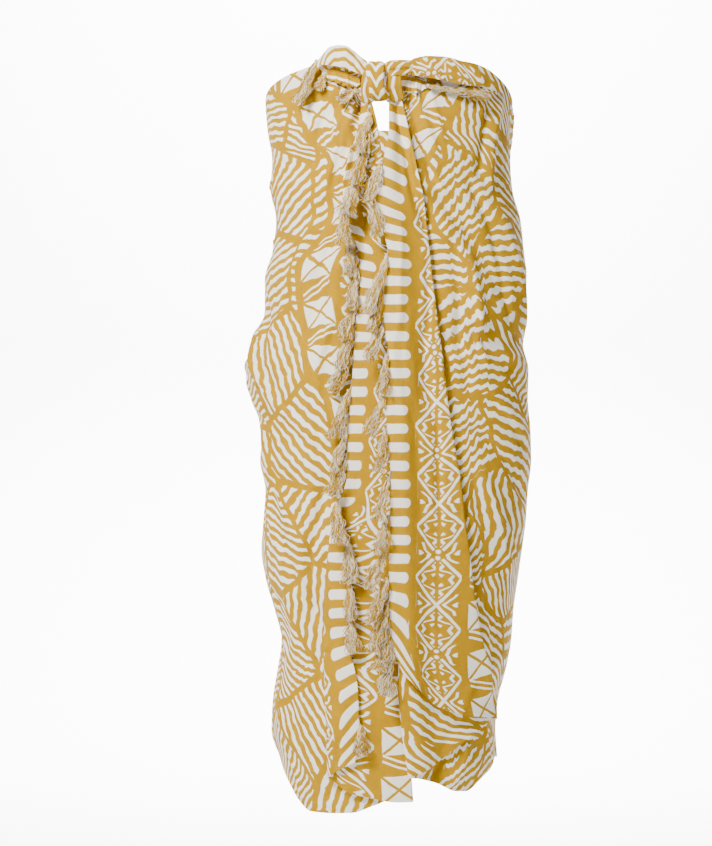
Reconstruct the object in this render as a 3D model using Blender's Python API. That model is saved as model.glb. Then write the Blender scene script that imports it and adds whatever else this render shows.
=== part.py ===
"""A fringed rayon sarong tied at the chest and worn as a strapless dress.

One cloth, 1.10 m deep and about 1.50 m long, goes once round the body. Its
two ends meet at the front, fold back on themselves in a Z and are knotted at
the chest, so the hollow is open at the top and at the hem.

X is to the viewer's right, the front faces -Y and Z is up. The origin is the
middle of the chest, at the height of the knot's underside, where the wearer
holds the cloth up. Lengths are in metres.
"""

import math
from collections import namedtuple

import bmesh
import bpy
import numpy as np

CLOTH = 0.0015
HALF_CLOTH = CLOTH / 2
SEAM_GAP = 0.0003

# The front view was measured from this far off, along this line of sight.
VIEW_DISTANCE = 4.0
VIEW_X = -0.048
VIEW_Z = -0.4845

# How square the worn tube is in plan: 1 is an ellipse, less is squarer.
SQUARE_X = 0.94
SQUARE_Y = 0.88
# The radius that turns an angle round the body into a length of cloth.
GIRTH_RADIUS = 0.170

# How many rows and columns the cloth's grids have, and how the columns
# crowd towards the folded ends.
ROWS = 25
LEFT_COLUMNS = 12
RIGHT_COLUMNS = 14
BACK_COLUMNS = 18
LEFT_CROWDING = 0.8
RIGHT_CROWDING = 1.5
# The radius of the girth at the side seams.
SIDE_RADIUS = 0.125
# Edges sharper than this, in degrees, are shaded as corners.
SHARP_ANGLE = 60
CLOTH_ROUGHNESS = 0.85
FRINGE_ROUGHNESS = 0.95
MUSTARD = (0.62, 0.40, 0.055, 1.0)
MUSTARD_SHADE = (0.50, 0.30, 0.035, 1.0)
FRINGE_COLOUR = (0.76, 0.66, 0.44, 1.0)

# The worn tube, seen from the front: its two sides, and how far it stands
# out in front and behind.
Section = namedtuple("Section", "z left right front back")
SECTIONS = (
    Section(0.090, -0.174, 0.178, 0.114, 0.104),
    Section(0.000, -0.184, 0.187, 0.122, 0.110),
    Section(-0.045, -0.181, 0.183, 0.130, 0.108),
    Section(-0.090, -0.174, 0.182, 0.133, 0.104),
    Section(-0.135, -0.176, 0.186, 0.133, 0.102),
    Section(-0.180, -0.168, 0.199, 0.132, 0.102),
    Section(-0.225, -0.173, 0.204, 0.131, 0.104),
    Section(-0.270, -0.185, 0.208, 0.132, 0.107),
    Section(-0.315, -0.185, 0.206, 0.134, 0.112),
    Section(-0.360, -0.199, 0.201, 0.136, 0.118),
    Section(-0.405, -0.213, 0.211, 0.139, 0.125),
    Section(-0.450, -0.205, 0.210, 0.140, 0.130),
    Section(-0.495, -0.188, 0.214, 0.141, 0.132),
    Section(-0.540, -0.192, 0.215, 0.141, 0.132),
    Section(-0.585, -0.184, 0.210, 0.140, 0.131),
    Section(-0.630, -0.187, 0.207, 0.139, 0.129),
    Section(-0.675, -0.190, 0.201, 0.138, 0.127),
    Section(-0.720, -0.183, 0.194, 0.137, 0.125),
    Section(-0.765, -0.170, 0.187, 0.136, 0.123),
    Section(-0.810, -0.160, 0.183, 0.134, 0.121),
    Section(-0.855, -0.166, 0.174, 0.132, 0.119),
    Section(-0.900, -0.173, 0.162, 0.130, 0.117),
    Section(-0.945, -0.175, 0.158, 0.128, 0.115),
    Section(-0.990, -0.161, 0.160, 0.125, 0.112),
    Section(-1.035, -0.152, 0.150, 0.121, 0.108),
    Section(-1.090, -0.146, 0.142, 0.116, 0.104),
)

# The top edge and the hem, by the angle round the body in degrees: 0 is the
# front, 90 the viewer's right side, 180 the back.
Edge = namedtuple("Edge", "around top hem")
EDGES = (
    Edge(-180, -0.046, -1.005),
    Edge(-150, -0.042, -1.000),
    Edge(-120, -0.026, -0.990),
    Edge(-90, 0.000, -0.997),
    Edge(-75, 0.018, -1.022),
    Edge(-62, 0.031, -1.050),
    Edge(-50, 0.042, -1.067),
    Edge(-30, 0.054, -1.070),
    Edge(-18, 0.052, -1.069),
    Edge(-10, 0.046, -1.062),
    Edge(0, 0.045, -1.050),
    Edge(11, 0.052, -1.017),
    Edge(18, 0.060, -1.020),
    Edge(27, 0.061, -1.025),
    Edge(42, 0.056, -1.037),
    Edge(50, 0.050, -1.037),
    Edge(66, 0.029, -1.015),
    Edge(77, 0.013, -1.001),
    Edge(90, -0.004, -0.985),
    Edge(120, -0.026, -0.985),
    Edge(150, -0.042, -0.998),
    Edge(180, -0.046, -1.005),
)

# Folds and drag lines of the cloth. Each runs from one angle and height to
# another, and stands out by its height, or sinks where that is negative.
Fold = namedtuple("Fold", "around0 z0 around1 z1 width height")
FRONT_FOLDS = (
    Fold(-15, 0.004, -34, -0.150, 0.010, 0.007),
    Fold(-12, -0.004, -21, -0.085, 0.006, -0.005),
    Fold(-24, 0.020, -48, -0.080, 0.012, 0.004),
    Fold(-22, -0.160, -46, -0.750, 0.014, 0.008),
    Fold(-30, -0.230, -35, -0.560, 0.012, -0.004),
    Fold(-92, -0.340, -36, -0.510, 0.018, 0.007),
    Fold(-84, -0.290, -48, -0.470, 0.014, -0.006),
    Fold(-84, -0.480, -44, -0.670, 0.014, 0.006),
    Fold(-78, -0.550, -34, -0.800, 0.014, -0.005),
    Fold(-56, -0.680, -62, -0.830, 0.014, 0.005),
    Fold(-60, -0.860, -30, -0.825, 0.007, -0.004),
    Fold(-46, -0.750, -34, -0.930, 0.012, -0.005),
    Fold(-72, -0.890, -38, -1.040, 0.016, 0.006),
    Fold(-18, -0.880, -20, -1.050, 0.014, 0.004),
    Fold(14, -0.130, 42, -0.345, 0.016, 0.006),
    Fold(20, -0.140, 56, -0.300, 0.018, -0.007),
    Fold(56, -0.170, 86, -0.350, 0.016, 0.006),
    Fold(36, -0.340, 78, -0.450, 0.018, -0.007),
    Fold(26, -0.380, 72, -0.510, 0.018, 0.007),
    Fold(32, -0.490, 78, -0.600, 0.016, -0.006),
    Fold(36, -0.550, 66, -0.710, 0.016, 0.006),
    Fold(42, -0.680, 62, -0.840, 0.014, -0.006),
    Fold(50, -0.770, 54, -0.900, 0.014, 0.005),
    Fold(52, -0.940, 38, -1.030, 0.012, 0.006),
    Fold(40, -0.930, 22, -1.020, 0.010, -0.005),
    Fold(64, 0.010, 54, -0.135, 0.010, 0.005),
    Fold(55, 0.010, 47, -0.115, 0.008, -0.005),
)
BACK_FOLDS = (
    Fold(104, 0.000, 116, -0.500, 0.020, 0.008),
    Fold(128, 0.010, 142, -0.450, 0.018, -0.008),
    Fold(150, 0.000, 158, -0.700, 0.022, 0.009),
    Fold(175, 0.010, 170, -0.550, 0.020, -0.008),
    Fold(-165, 0.000, -172, -0.620, 0.022, 0.009),
    Fold(-148, 0.010, -151, -0.500, 0.018, -0.008),
    Fold(-127, 0.000, -121, -0.600, 0.020, 0.008),
    Fold(-107, 0.010, -103, -0.420, 0.016, -0.006),
    Fold(159, -0.560, 176, -1.060, 0.025, 0.011),
    Fold(-159, -0.600, -148, -1.060, 0.024, -0.010),
    Fold(131, -0.550, 121, -1.060, 0.020, -0.009),
    Fold(-124, -0.650, -136, -1.060, 0.020, 0.009),
    Fold(108, -0.600, 101, -1.050, 0.018, 0.007),
    Fold(94, -0.340, 150, -0.480, 0.018, 0.006),
    Fold(-94, -0.390, -150, -0.530, 0.018, 0.006),
)
FOLD_FADE = 0.16

# How far apart the folded layers of the ends lie: tight at the knot.
Spacing = namedtuple("Spacing", "z layer")
SPACINGS = (
    Spacing(0.030, 0.0032),
    Spacing(0.000, 0.0034),
    Spacing(-0.100, 0.0050),
    Spacing(-0.300, 0.0070),
    Spacing(-0.600, 0.0082),
    Spacing(-1.100, 0.0088),
)

# The viewer's left end: the fold nearest the middle, how far left the end
# reaches, how far its fringed edge is curled over, and the width that is.
LeftEnd = namedtuple("LeftEnd", "z inner outer turn strip")
LEFT_END = (
    LeftEnd(0.003, -0.0255, -0.0400, 180, 0.0075),
    LeftEnd(-0.036, -0.0158, -0.0440, 180, 0.0120),
    LeftEnd(-0.080, -0.0090, -0.0555, 180, 0.0150),
    LeftEnd(-0.123, -0.0015, -0.0640, 165, 0.0160),
    LeftEnd(-0.155, 0.0025, -0.0640, 120, 0.0120),
    LeftEnd(-0.190, 0.0045, -0.0560, 60, 0.0080),
    LeftEnd(-0.225, 0.0050, -0.0440, 0, 0.0050),
    LeftEnd(-0.260, 0.0060, -0.0410, 0, 0.0050),
    LeftEnd(-0.330, 0.0065, -0.0470, 0, 0.0050),
    LeftEnd(-0.420, 0.0080, -0.0530, 0, 0.0050),
    LeftEnd(-0.510, 0.0090, -0.0585, 0, 0.0050),
    LeftEnd(-0.570, 0.0105, -0.0600, 20, 0.0060),
    LeftEnd(-0.615, 0.0120, -0.0720, 100, 0.0120),
    LeftEnd(-0.665, 0.0135, -0.0850, 180, 0.0210),
    LeftEnd(-0.730, 0.0150, -0.0900, 180, 0.0270),
    LeftEnd(-0.810, 0.0180, -0.0915, 180, 0.0320),
    LeftEnd(-0.885, 0.0210, -0.0900, 180, 0.0430),
    LeftEnd(-0.945, 0.0270, -0.0885, 180, 0.0430),
    LeftEnd(-1.012, 0.0345, -0.0850, 180, 0.0330),
    LeftEnd(-1.060, 0.0380, -0.0810, 180, 0.0300),
)

# The viewer's right end: its fringed edge, the fold at its right, the fold
# hidden behind it, and how deep the groove beside the edge bars is.
RightEnd = namedtuple("RightEnd", "z edge outer inner groove")
RIGHT_END = (
    RightEnd(0.0075, 0.0012, 0.0185, 0.0045, 0.0020),
    RightEnd(-0.015, 0.0012, 0.0240, 0.0045, 0.0040),
    RightEnd(-0.042, 0.0012, 0.0300, 0.0045, 0.0050),
    RightEnd(-0.080, -0.0045, 0.0380, 0.0020, 0.0060),
    RightEnd(-0.123, -0.0105, 0.0470, 0.0010, 0.0060),
    RightEnd(-0.152, -0.0160, 0.0530, 0.0020, 0.0050),
    RightEnd(-0.195, -0.0060, 0.0580, 0.0060, 0.0040),
    RightEnd(-0.237, 0.0020, 0.0630, 0.0105, 0.0030),
    RightEnd(-0.285, -0.0048, 0.0675, 0.0135, 0.0020),
    RightEnd(-0.337, -0.0052, 0.0735, 0.0135, 0.0010),
    RightEnd(-0.385, 0.0012, 0.0795, 0.0135, 0.0000),
    RightEnd(-0.450, -0.0028, 0.0870, 0.0135, 0.0000),
    RightEnd(-0.510, 0.0010, 0.0960, 0.0150, 0.0000),
    RightEnd(-0.570, 0.0045, 0.1050, 0.0165, 0.0000),
    RightEnd(-0.637, 0.0035, 0.1125, 0.0180, 0.0000),
    RightEnd(-0.690, 0.0020, 0.1185, 0.0180, 0.0000),
    RightEnd(-0.737, 0.0024, 0.1230, 0.0180, 0.0000),
    RightEnd(-0.790, 0.0040, 0.1305, 0.0180, 0.0000),
    RightEnd(-0.845, 0.0150, 0.1395, 0.0150, 0.0000),
    RightEnd(-0.885, 0.0300, 0.1455, 0.0135, 0.0000),
    RightEnd(-0.930, 0.0400, 0.1500, 0.0165, 0.0000),
    RightEnd(-1.020, 0.0500, 0.1500, 0.0285, 0.0000),
)

# The hem of each end, by how far round its path it lies: 0 is the fringed
# edge, 1 the outer fold, 2 the inner fold, 3 where it joins its panel.
Hem = namedtuple("Hem", "along z")
LEFT_END_HEM = (
    Hem(0.0, -0.994),
    Hem(1.0, -1.017),
    Hem(1.25, -1.040),
    Hem(1.5, -1.048),
    Hem(1.75, -1.054),
    Hem(2.0, -1.053),
    Hem(3.0, -1.050),
)
RIGHT_END_HEM = (
    Hem(0.0, -0.862),
    Hem(0.12, -0.890),
    Hem(0.3, -0.911),
    Hem(0.6, -0.923),
    Hem(1.0, -0.929),
    Hem(1.3, -0.960),
    Hem(1.6, -0.994),
    Hem(1.85, -1.012),
    Hem(2.0, -1.017),
    Hem(3.0, -1.018),
)
# The knotted ends begin this far below the top edge.
YOKE = 0.042
LEFT_SEAM = 0.0100
RIGHT_SEAM = 0.0120
# How the right end steps over the left one.
OVERLAP_RISE = 0.0010
OVERLAP_FLAT = 0.0100
OVERLAP_RAMP = 0.0350
# Where the groove beside the edge bars lies across the strip, and its width.
GROOVE_AT = 0.55
GROOVE_WIDTH = 0.2
MOST_AROUND = 80.0
# How little of a girth step is seen from the front at most, near the sides.
LEAST_FACING = 0.3
# A slanting side and a sloping hem depend on each other: this many rounds
# settle both.
SETTLING_STEPS = 8

# Where the columns of a folded end lie, from its fringed edge: 1 is the
# middle of the outer fold's turn, 2 that of the inner one, 3 the seam.
TURN_SHARES = (0.12, 0.38, 0.62, 0.88)
TURN_ALONG = 0.1
STRIP_ALONG = 0.94
MIDDLE_ALONG = (1.06, 1.92)
STRIP_COLUMNS = 4
LEFT_STRIP_COLUMNS = 3
MIDDLE_COLUMNS = 5
# The smallest turn, in degrees, that a strip's curl is worked out for.
LEAST_TURN = 0.5

# The tied ends and the turned-over top are doubled cloth, open below: where
# each stands along the front, its top, and how its two leaves hang.
Leaf = namedtuple("Leaf", "x top bottom back belly half_gap stand")
LEFT_WING = (
    Leaf(-0.0297, 0.0580, 0.0360, 0.0400, 0.0020, 0.0040, 0.0145),
    Leaf(-0.0400, 0.0660, 0.0390, 0.0430, 0.0030, 0.0045, 0.0150),
    Leaf(-0.0490, 0.0740, 0.0430, 0.0480, 0.0040, 0.0050, 0.0150),
    Leaf(-0.0600, 0.0815, 0.0465, 0.0540, 0.0045, 0.0050, 0.0150),
    Leaf(-0.0720, 0.0825, 0.0505, 0.0560, 0.0040, 0.0045, 0.0145),
    Leaf(-0.0830, 0.0800, 0.0520, 0.0570, 0.0030, 0.0040, 0.0140),
    Leaf(-0.0925, 0.0700, 0.0530, 0.0570, 0.0015, 0.0030, 0.0135),
    Leaf(-0.1000, 0.0610, 0.0530, 0.0550, 0.0005, 0.0018, 0.0130),
)
RIGHT_COLLAR = (
    Leaf(0.0270, 0.0460, 0.0370, 0.0400, 0.0010, 0.0030, 0.0130),
    Leaf(0.0350, 0.0615, 0.0370, 0.0420, 0.0030, 0.0040, 0.0140),
    Leaf(0.0580, 0.0665, 0.0335, 0.0440, 0.0045, 0.0045, 0.0140),
    Leaf(0.0800, 0.0655, 0.0290, 0.0420, 0.0050, 0.0045, 0.0140),
    Leaf(0.1000, 0.0605, 0.0245, 0.0370, 0.0045, 0.0045, 0.0140),
    Leaf(0.1170, 0.0530, 0.0215, 0.0300, 0.0040, 0.0040, 0.0135),
    Leaf(0.1320, 0.0430, 0.0200, 0.0240, 0.0030, 0.0035, 0.0125),
    Leaf(0.1450, 0.0330, 0.0150, 0.0190, 0.0020, 0.0030, 0.0115),
    Leaf(0.1570, 0.0230, 0.0080, 0.0120, 0.0010, 0.0025, 0.0105),
)
LEAF_BACK_COLUMNS = 3
LEAF_FRONT_COLUMNS = 5
LEAF_TURN = (150, 90, 30)

# The frayed ruffles below the knot: single cloth, waved along its length.
Ruffle = namedtuple("Ruffle", "x top bottom stand")
LEFT_RUFFLE = (
    Ruffle(-0.0410, 0.0330, 0.0220, 0.0060),
    Ruffle(-0.0520, 0.0370, 0.0200, 0.0068),
    Ruffle(-0.0640, 0.0410, 0.0210, 0.0067),
    Ruffle(-0.0760, 0.0450, 0.0260, 0.0062),
    Ruffle(-0.0900, 0.0470, 0.0310, 0.0057),
)
RIGHT_RUFFLE = (
    Ruffle(0.0120, 0.0340, 0.0190, 0.0055),
    Ruffle(0.0230, 0.0370, 0.0120, 0.0052),
    Ruffle(0.0360, 0.0350, 0.0110, 0.0046),
    Ruffle(0.0480, 0.0320, 0.0130, 0.0041),
    Ruffle(0.0560, 0.0290, 0.0170, 0.0036),
)
RUFFLE_WAVES = 3
RUFFLE_DEPTH = 0.0022
# The waves' depth at a ruffle's root, as a share of that at its free edge.
RUFFLE_ROOT = 0.3
RUFFLE_COLUMNS = 4
RUFFLE_ROWS = 13

# The rolls of the knot, each a gathered stretch of cloth: its middle line and
# its half width and half depth along it.
KNOT_PLANE = -0.122
Roll = namedtuple("Roll", "x z out half_width half_depth")
KNOT_LOOP = (
    Roll(-0.0180, 0.0480, 0.0050, 0.0115, 0.0040),
    Roll(-0.0185, 0.0545, 0.0130, 0.0125, 0.0045),
    Roll(-0.0190, 0.0500, 0.0240, 0.0130, 0.0060),
    Roll(-0.0190, 0.0380, 0.0300, 0.0120, 0.0068),
    Roll(-0.0178, 0.0260, 0.0310, 0.0102, 0.0070),
    Roll(-0.0165, 0.0150, 0.0285, 0.0100, 0.0066),
    Roll(-0.0152, 0.0070, 0.0235, 0.0122, 0.0058),
    Roll(-0.0148, 0.0020, 0.0160, 0.0134, 0.0045),
)
KNOT_BAND = (
    Roll(-0.0037, 0.0450, 0.0170, 0.0085, 0.0078),
    Roll(0.0060, 0.0478, 0.0185, 0.0118, 0.0088),
    Roll(0.0165, 0.0490, 0.0170, 0.0112, 0.0082),
    Roll(0.0262, 0.0500, 0.0140, 0.0085, 0.0062),
)
KNOT_LEFT_ROOT = (
    Roll(-0.0340, 0.0040, 0.0090, 0.0055, 0.0045),
    Roll(-0.0345, 0.0120, 0.0125, 0.0060, 0.0052),
    Roll(-0.0345, 0.0220, 0.0150, 0.0055, 0.0050),
    Roll(-0.0335, 0.0310, 0.0160, 0.0045, 0.0042),
)
KNOT_RIGHT_ROOT = (
    Roll(0.0065, 0.0067, 0.0120, 0.0060, 0.0048),
    Roll(0.0045, 0.0160, 0.0160, 0.0062, 0.0055),
    Roll(0.0038, 0.0250, 0.0185, 0.0058, 0.0055),
    Roll(0.0035, 0.0358, 0.0190, 0.0050, 0.0048),
)
ROLL_SIDES = 14
ROLL_GROOVE = 0.10
ROLL_GROOVES = 4

# The knotted tassels of the two ends: the height of the bead on the fringed
# edge, where the tassel's tip hangs, and its length.
Tassel = namedtuple("Tassel", "z tip_x length")
RIGHT_TASSELS = (
    Tassel(-0.098, -0.026, 0.062),
    Tassel(-0.152, -0.013, 0.056),
    Tassel(-0.237, -0.028, 0.090),
    Tassel(-0.285, -0.022, 0.066),
    Tassel(-0.337, -0.026, 0.060),
    Tassel(-0.385, -0.008, 0.062),
    Tassel(-0.448, -0.024, 0.062),
    Tassel(-0.498, -0.012, 0.064),
    Tassel(-0.570, -0.010, 0.066),
    Tassel(-0.626, -0.008, 0.060),
    Tassel(-0.676, -0.026, 0.066),
    Tassel(-0.718, -0.022, 0.076),
    Tassel(-0.757, -0.020, 0.078),
    Tassel(-0.790, -0.014, 0.070),
    Tassel(-0.828, -0.006, 0.070),
)
LEFT_TASSELS = (
    Tassel(-0.022, -0.039, 0.062),
    Tassel(-0.068, -0.048, 0.062),
    Tassel(-0.112, -0.057, 0.064),
    Tassel(-0.160, -0.058, 0.060),
    Tassel(-0.208, -0.056, 0.060),
    Tassel(-0.256, -0.060, 0.062),
    Tassel(-0.304, -0.064, 0.062),
    Tassel(-0.346, -0.072, 0.064),
    Tassel(-0.388, -0.083, 0.060),
    Tassel(-0.437, -0.076, 0.076),
    Tassel(-0.492, -0.078, 0.070),
    Tassel(-0.538, -0.078, 0.060),
    Tassel(-0.606, -0.064, 0.066),
    Tassel(-0.662, -0.052, 0.066),
    Tassel(-0.718, -0.050, 0.066),
    Tassel(-0.772, -0.044, 0.062),
    Tassel(-0.940, -0.036, 0.048),
)
# Those that hang from the tied ends: bead and tip, both in the front view.
FreeTassel = namedtuple("FreeTassel", "name x z out tip_x tip_z spread")
FREE_TASSELS = (
    FreeTassel("wing_tassel", -0.1027, 0.0570, 0.0130, -0.1290, -0.0060, 0.0090),
    FreeTassel("knot_tassel", -0.0404, 0.0150, 0.0137, -0.0725, -0.0020, 0.0050),
    FreeTassel("left_ruffle_tassel", -0.0935, 0.0380, 0.0077, -0.1010, 0.0120, 0.0050),
    FreeTassel("right_ruffle_tassel", 0.0587, 0.0215, 0.0056, 0.1440, 0.0030, 0.0035),
)
BEAD = 0.0030
BEAD_SIDES = 5
BEAD_SHOULDER = 0.2
STRAND_STEPS = 3
STRAND_SPREAD = 0.0085
STRAND_INSET = 0.62
STRAND_TAPER = 0.55
STRAND_WAVE = 0.004
STRAND_WAVES = 1.1
STRAND_FLATTENING = 0.18
TASSEL_TILT = 0.12
# How far the strands rise off the edge as they leave the bead.
ROOT_RISE = 0.0030
BEAD_GAP = 0.00055
# How far strands stay off the cloth, and off a tassel that they hang over.
CLOTH_CLEARANCE = 0.0036
TASSEL_CLEARANCE = 0.0062
# How near another tassel counts as below this one: in spreads across, and as
# a share of the tassel's length down.
NEAR_ACROSS = 2.2
NEAR_DOWN = 0.25


def column(table, name):
    """One named column of a table, as an array."""
    return np.array([getattr(row, name) for row in table], float)


def smooth(table, by, name, at):
    """A column read along another one, on a smooth curve that never overshoots."""
    xs, ys = column(table, by), column(table, name)
    if xs[0] > xs[-1]:
        xs, ys = xs[::-1], ys[::-1]
    at = float(np.clip(at, xs[0], xs[-1]))
    i = int(np.clip(np.searchsorted(xs, at) - 1, 0, len(xs) - 2))
    slopes = np.diff(ys) / np.diff(xs)

    def tangent(k):
        if k == 0 or k == len(xs) - 1:
            return slopes[min(k, len(slopes) - 1)]
        before, after = slopes[k - 1], slopes[k]
        return 0.0 if before * after <= 0 else 2 * before * after / (before + after)

    width = xs[i + 1] - xs[i]
    t = (at - xs[i]) / width
    return (
        ys[i] * (1 + 2 * t) * (1 - t) ** 2
        + ys[i + 1] * t * t * (3 - 2 * t)
        + width * tangent(i) * t * (1 - t) ** 2
        - width * tangent(i + 1) * t * t * (1 - t)
    )


def step(value):
    """0 below 0, 1 above 1, smooth between."""
    value = min(1.0, max(0.0, value))
    return value * value * (3 - 2 * value)


def powered(value, power):
    return math.copysign(abs(value) ** power, value)


def relief(around, z):
    """How far the folds lift the cloth off the plain tube at one place."""
    total = 0.0
    for fold in FRONT_FOLDS + BACK_FOLDS:
        share = (z - fold.z0) / (fold.z1 - fold.z0)
        strength = step(share / FOLD_FADE + 0.5) * step((1 - share) / FOLD_FADE + 0.5)
        if strength == 0:
            continue
        middle = fold.around0 + (fold.around1 - fold.around0) * share
        off = (around - middle + 180) % 360 - 180
        off = math.radians(off) * GIRTH_RADIUS / fold.width
        total += fold.height * strength * math.exp(-off * off)
    return total


def tube_point(around, z):
    """The plain worn tube at an angle and height, in plan."""
    left, right = (smooth(SECTIONS, "z", name, z) for name in ("left", "right"))
    front, back = (smooth(SECTIONS, "z", name, z) for name in ("front", "back"))
    angle = math.radians(around)
    x = (left + right) / 2 + (right - left) / 2 * powered(math.sin(angle), SQUARE_X)
    depth = powered(math.cos(angle), SQUARE_Y)
    return np.array((x, -depth * (front if depth > 0 else back)))


def tube_frame(around, z):
    """Point, outward direction and girth per degree of the plain tube."""
    before, after = tube_point(around - 1, z), tube_point(around + 1, z)
    along = after - before
    per_degree = np.linalg.norm(along) / 2
    along /= np.linalg.norm(along)
    return tube_point(around, z), np.array((along[1], -along[0])), along, per_degree


def placed(around, z, out=0.0, shift=0.0):
    """A point of the cloth: out along the tube's normal, shifted along its girth."""
    point, outward, along, _ = tube_frame(around, z)
    point = point + outward * (relief(around, z) + out) + along * shift
    return np.array((point[0], point[1], z))


def around_of(x, z):
    """The angle at which the front of the tube is seen at x."""
    left, right = (smooth(SECTIONS, "z", name, z) for name in ("left", "right"))
    share = (x - (left + right) / 2) / ((right - left) / 2)
    most = math.sin(math.radians(MOST_AROUND))
    share = min(most, max(-most, powered(share, 1 / SQUARE_X)))
    return math.degrees(math.asin(share))


def layer(z):
    return smooth(SPACINGS, "z", "layer", z)


def lift(x, z):
    """How far the right end stands out, to pass over the left end."""
    end = smooth(LEFT_END, "z", "inner", z) + OVERLAP_FLAT + OVERLAP_RAMP
    return (2 * layer(z) + OVERLAP_RISE) * step((end - x) / OVERLAP_RAMP)


def seen(points):
    """Brings sizes read off the front view to the depth at which they lie."""
    points = np.array(points, float)
    share = (VIEW_DISTANCE + points[..., 1]) / VIEW_DISTANCE
    points[..., 0] = VIEW_X + (points[..., 0] - VIEW_X) * share
    points[..., 2] = VIEW_Z + (points[..., 2] - VIEW_Z) * share
    return points


def material(name, colour, roughness):
    made = bpy.data.materials.get(name) or bpy.data.materials.new(name)
    made.use_nodes = True
    shader = made.node_tree.nodes["Principled BSDF"]
    shader.inputs["Base Color"].default_value = colour
    shader.inputs["Roughness"].default_value = roughness
    shader.inputs["Metallic"].default_value = 0.0
    return made


def add_object(name, mesh_maker, colour, roughness=CLOTH_ROUGHNESS):
    """Makes a named object with its own material from a filled bmesh."""
    mesh = bpy.data.meshes.new(name)
    shape = bmesh.new()
    mesh_maker(shape)
    bmesh.ops.recalc_face_normals(shape, faces=shape.faces)
    shape.to_mesh(mesh)
    shape.free()
    mesh.shade_smooth()
    mesh.set_sharp_from_angle(angle=math.radians(SHARP_ANGLE))
    made = bpy.data.objects.new(name, mesh)
    mesh.materials.append(material(name, colour, roughness))
    bpy.context.scene.collection.objects.link(made)
    return made


def grid_normals(grid):
    """Unit normals of a grid of points, from its neighbours."""
    down = np.gradient(grid, axis=0)
    across = np.gradient(grid, axis=1)
    normal = np.cross(across, down)
    return normal / np.linalg.norm(normal, axis=2, keepdims=True)


def wall(name, grid, colour, thickness=CLOTH):
    """A closed wall of cloth round a grid of points in its middle."""
    grid = seen(grid)
    normal = grid_normals(grid) * thickness / 2
    rows, columns = grid.shape[:2]

    def fill(shape):
        faces = []
        for side in (grid + normal, grid - normal):
            faces.append([[shape.verts.new(p) for p in row] for row in side])
        outer, inner = faces
        for i in range(rows - 1):
            for j in range(columns - 1):
                for side in faces:
                    quad = (side[i][j], side[i][j + 1], side[i + 1][j + 1], side[i + 1][j])
                    shape.faces.new(quad)
        rim = [(0, j) for j in range(columns)]
        rim += [(i, columns - 1) for i in range(1, rows)]
        rim += [(rows - 1, j) for j in range(columns - 2, -1, -1)]
        rim += [(i, 0) for i in range(rows - 2, 0, -1)]
        for (i, j), (k, m) in zip(rim, rim[1:] + rim[:1]):
            shape.faces.new((outer[i][j], outer[k][m], inner[k][m], inner[i][j]))

    return add_object(name, fill, colour)


def edge_height(name, around):
    """The height of the top edge or the hem at an angle round the body."""
    return smooth(EDGES, "around", name, (around + 180) % 360 - 180)


def row_height(around, i):
    """The height of a row of the tube: the top edge, then even steps to the hem."""
    top = edge_height("top", around)
    if i == 0:
        return top
    yoke = top - YOKE
    return yoke + (edge_height("hem", around) - yoke) * (i - 1) / (ROWS - 1)


def between(first, last, share, z):
    """An angle part of the way from one side of a panel to the other."""
    start = first(z) if callable(first) else first
    end = last(z) if callable(last) else last
    return start + (end - start) * share


def panel_grid(first, last, columns, crowding=1.0, raised=False):
    """The worn tube between two angles, each a number or a function of z.

    A crowding above 1 brings the columns together at the first angle, and
    one below 1 at the last. A raised panel passes over the left end.
    """
    grid = []
    for i in range(ROWS + 1):
        row = []
        for j in range(columns):
            across = j / (columns - 1)
            if crowding >= 1:
                across = across ** crowding
            else:
                across = 1 - (1 - across) ** (1 / crowding)
            z = 0.0
            for _ in range(SETTLING_STEPS):
                z = row_height(between(first, last, across, z), i)
            around = between(first, last, across, z)
            out = lift(tube_point(around, z)[0], z) if raised else 0.0
            row.append(placed(around, z, out))
        grid.append(row)
    return np.array(grid)


def left_seam(z):
    """The angle at which the left panel meets its folded end."""
    around = around_of(smooth(LEFT_END, "z", "inner", z) - LEFT_SEAM, z)
    return around - SEAM_GAP / tube_frame(around, z)[3]


def right_seam(z):
    around = around_of(smooth(RIGHT_END, "z", "inner", z) + RIGHT_SEAM, z)
    return around + SEAM_GAP / tube_frame(around, z)[3]


def side_gap():
    """Half the gap at a side seam, as an angle."""
    return math.degrees(SEAM_GAP / 2 / SIDE_RADIUS)



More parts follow.
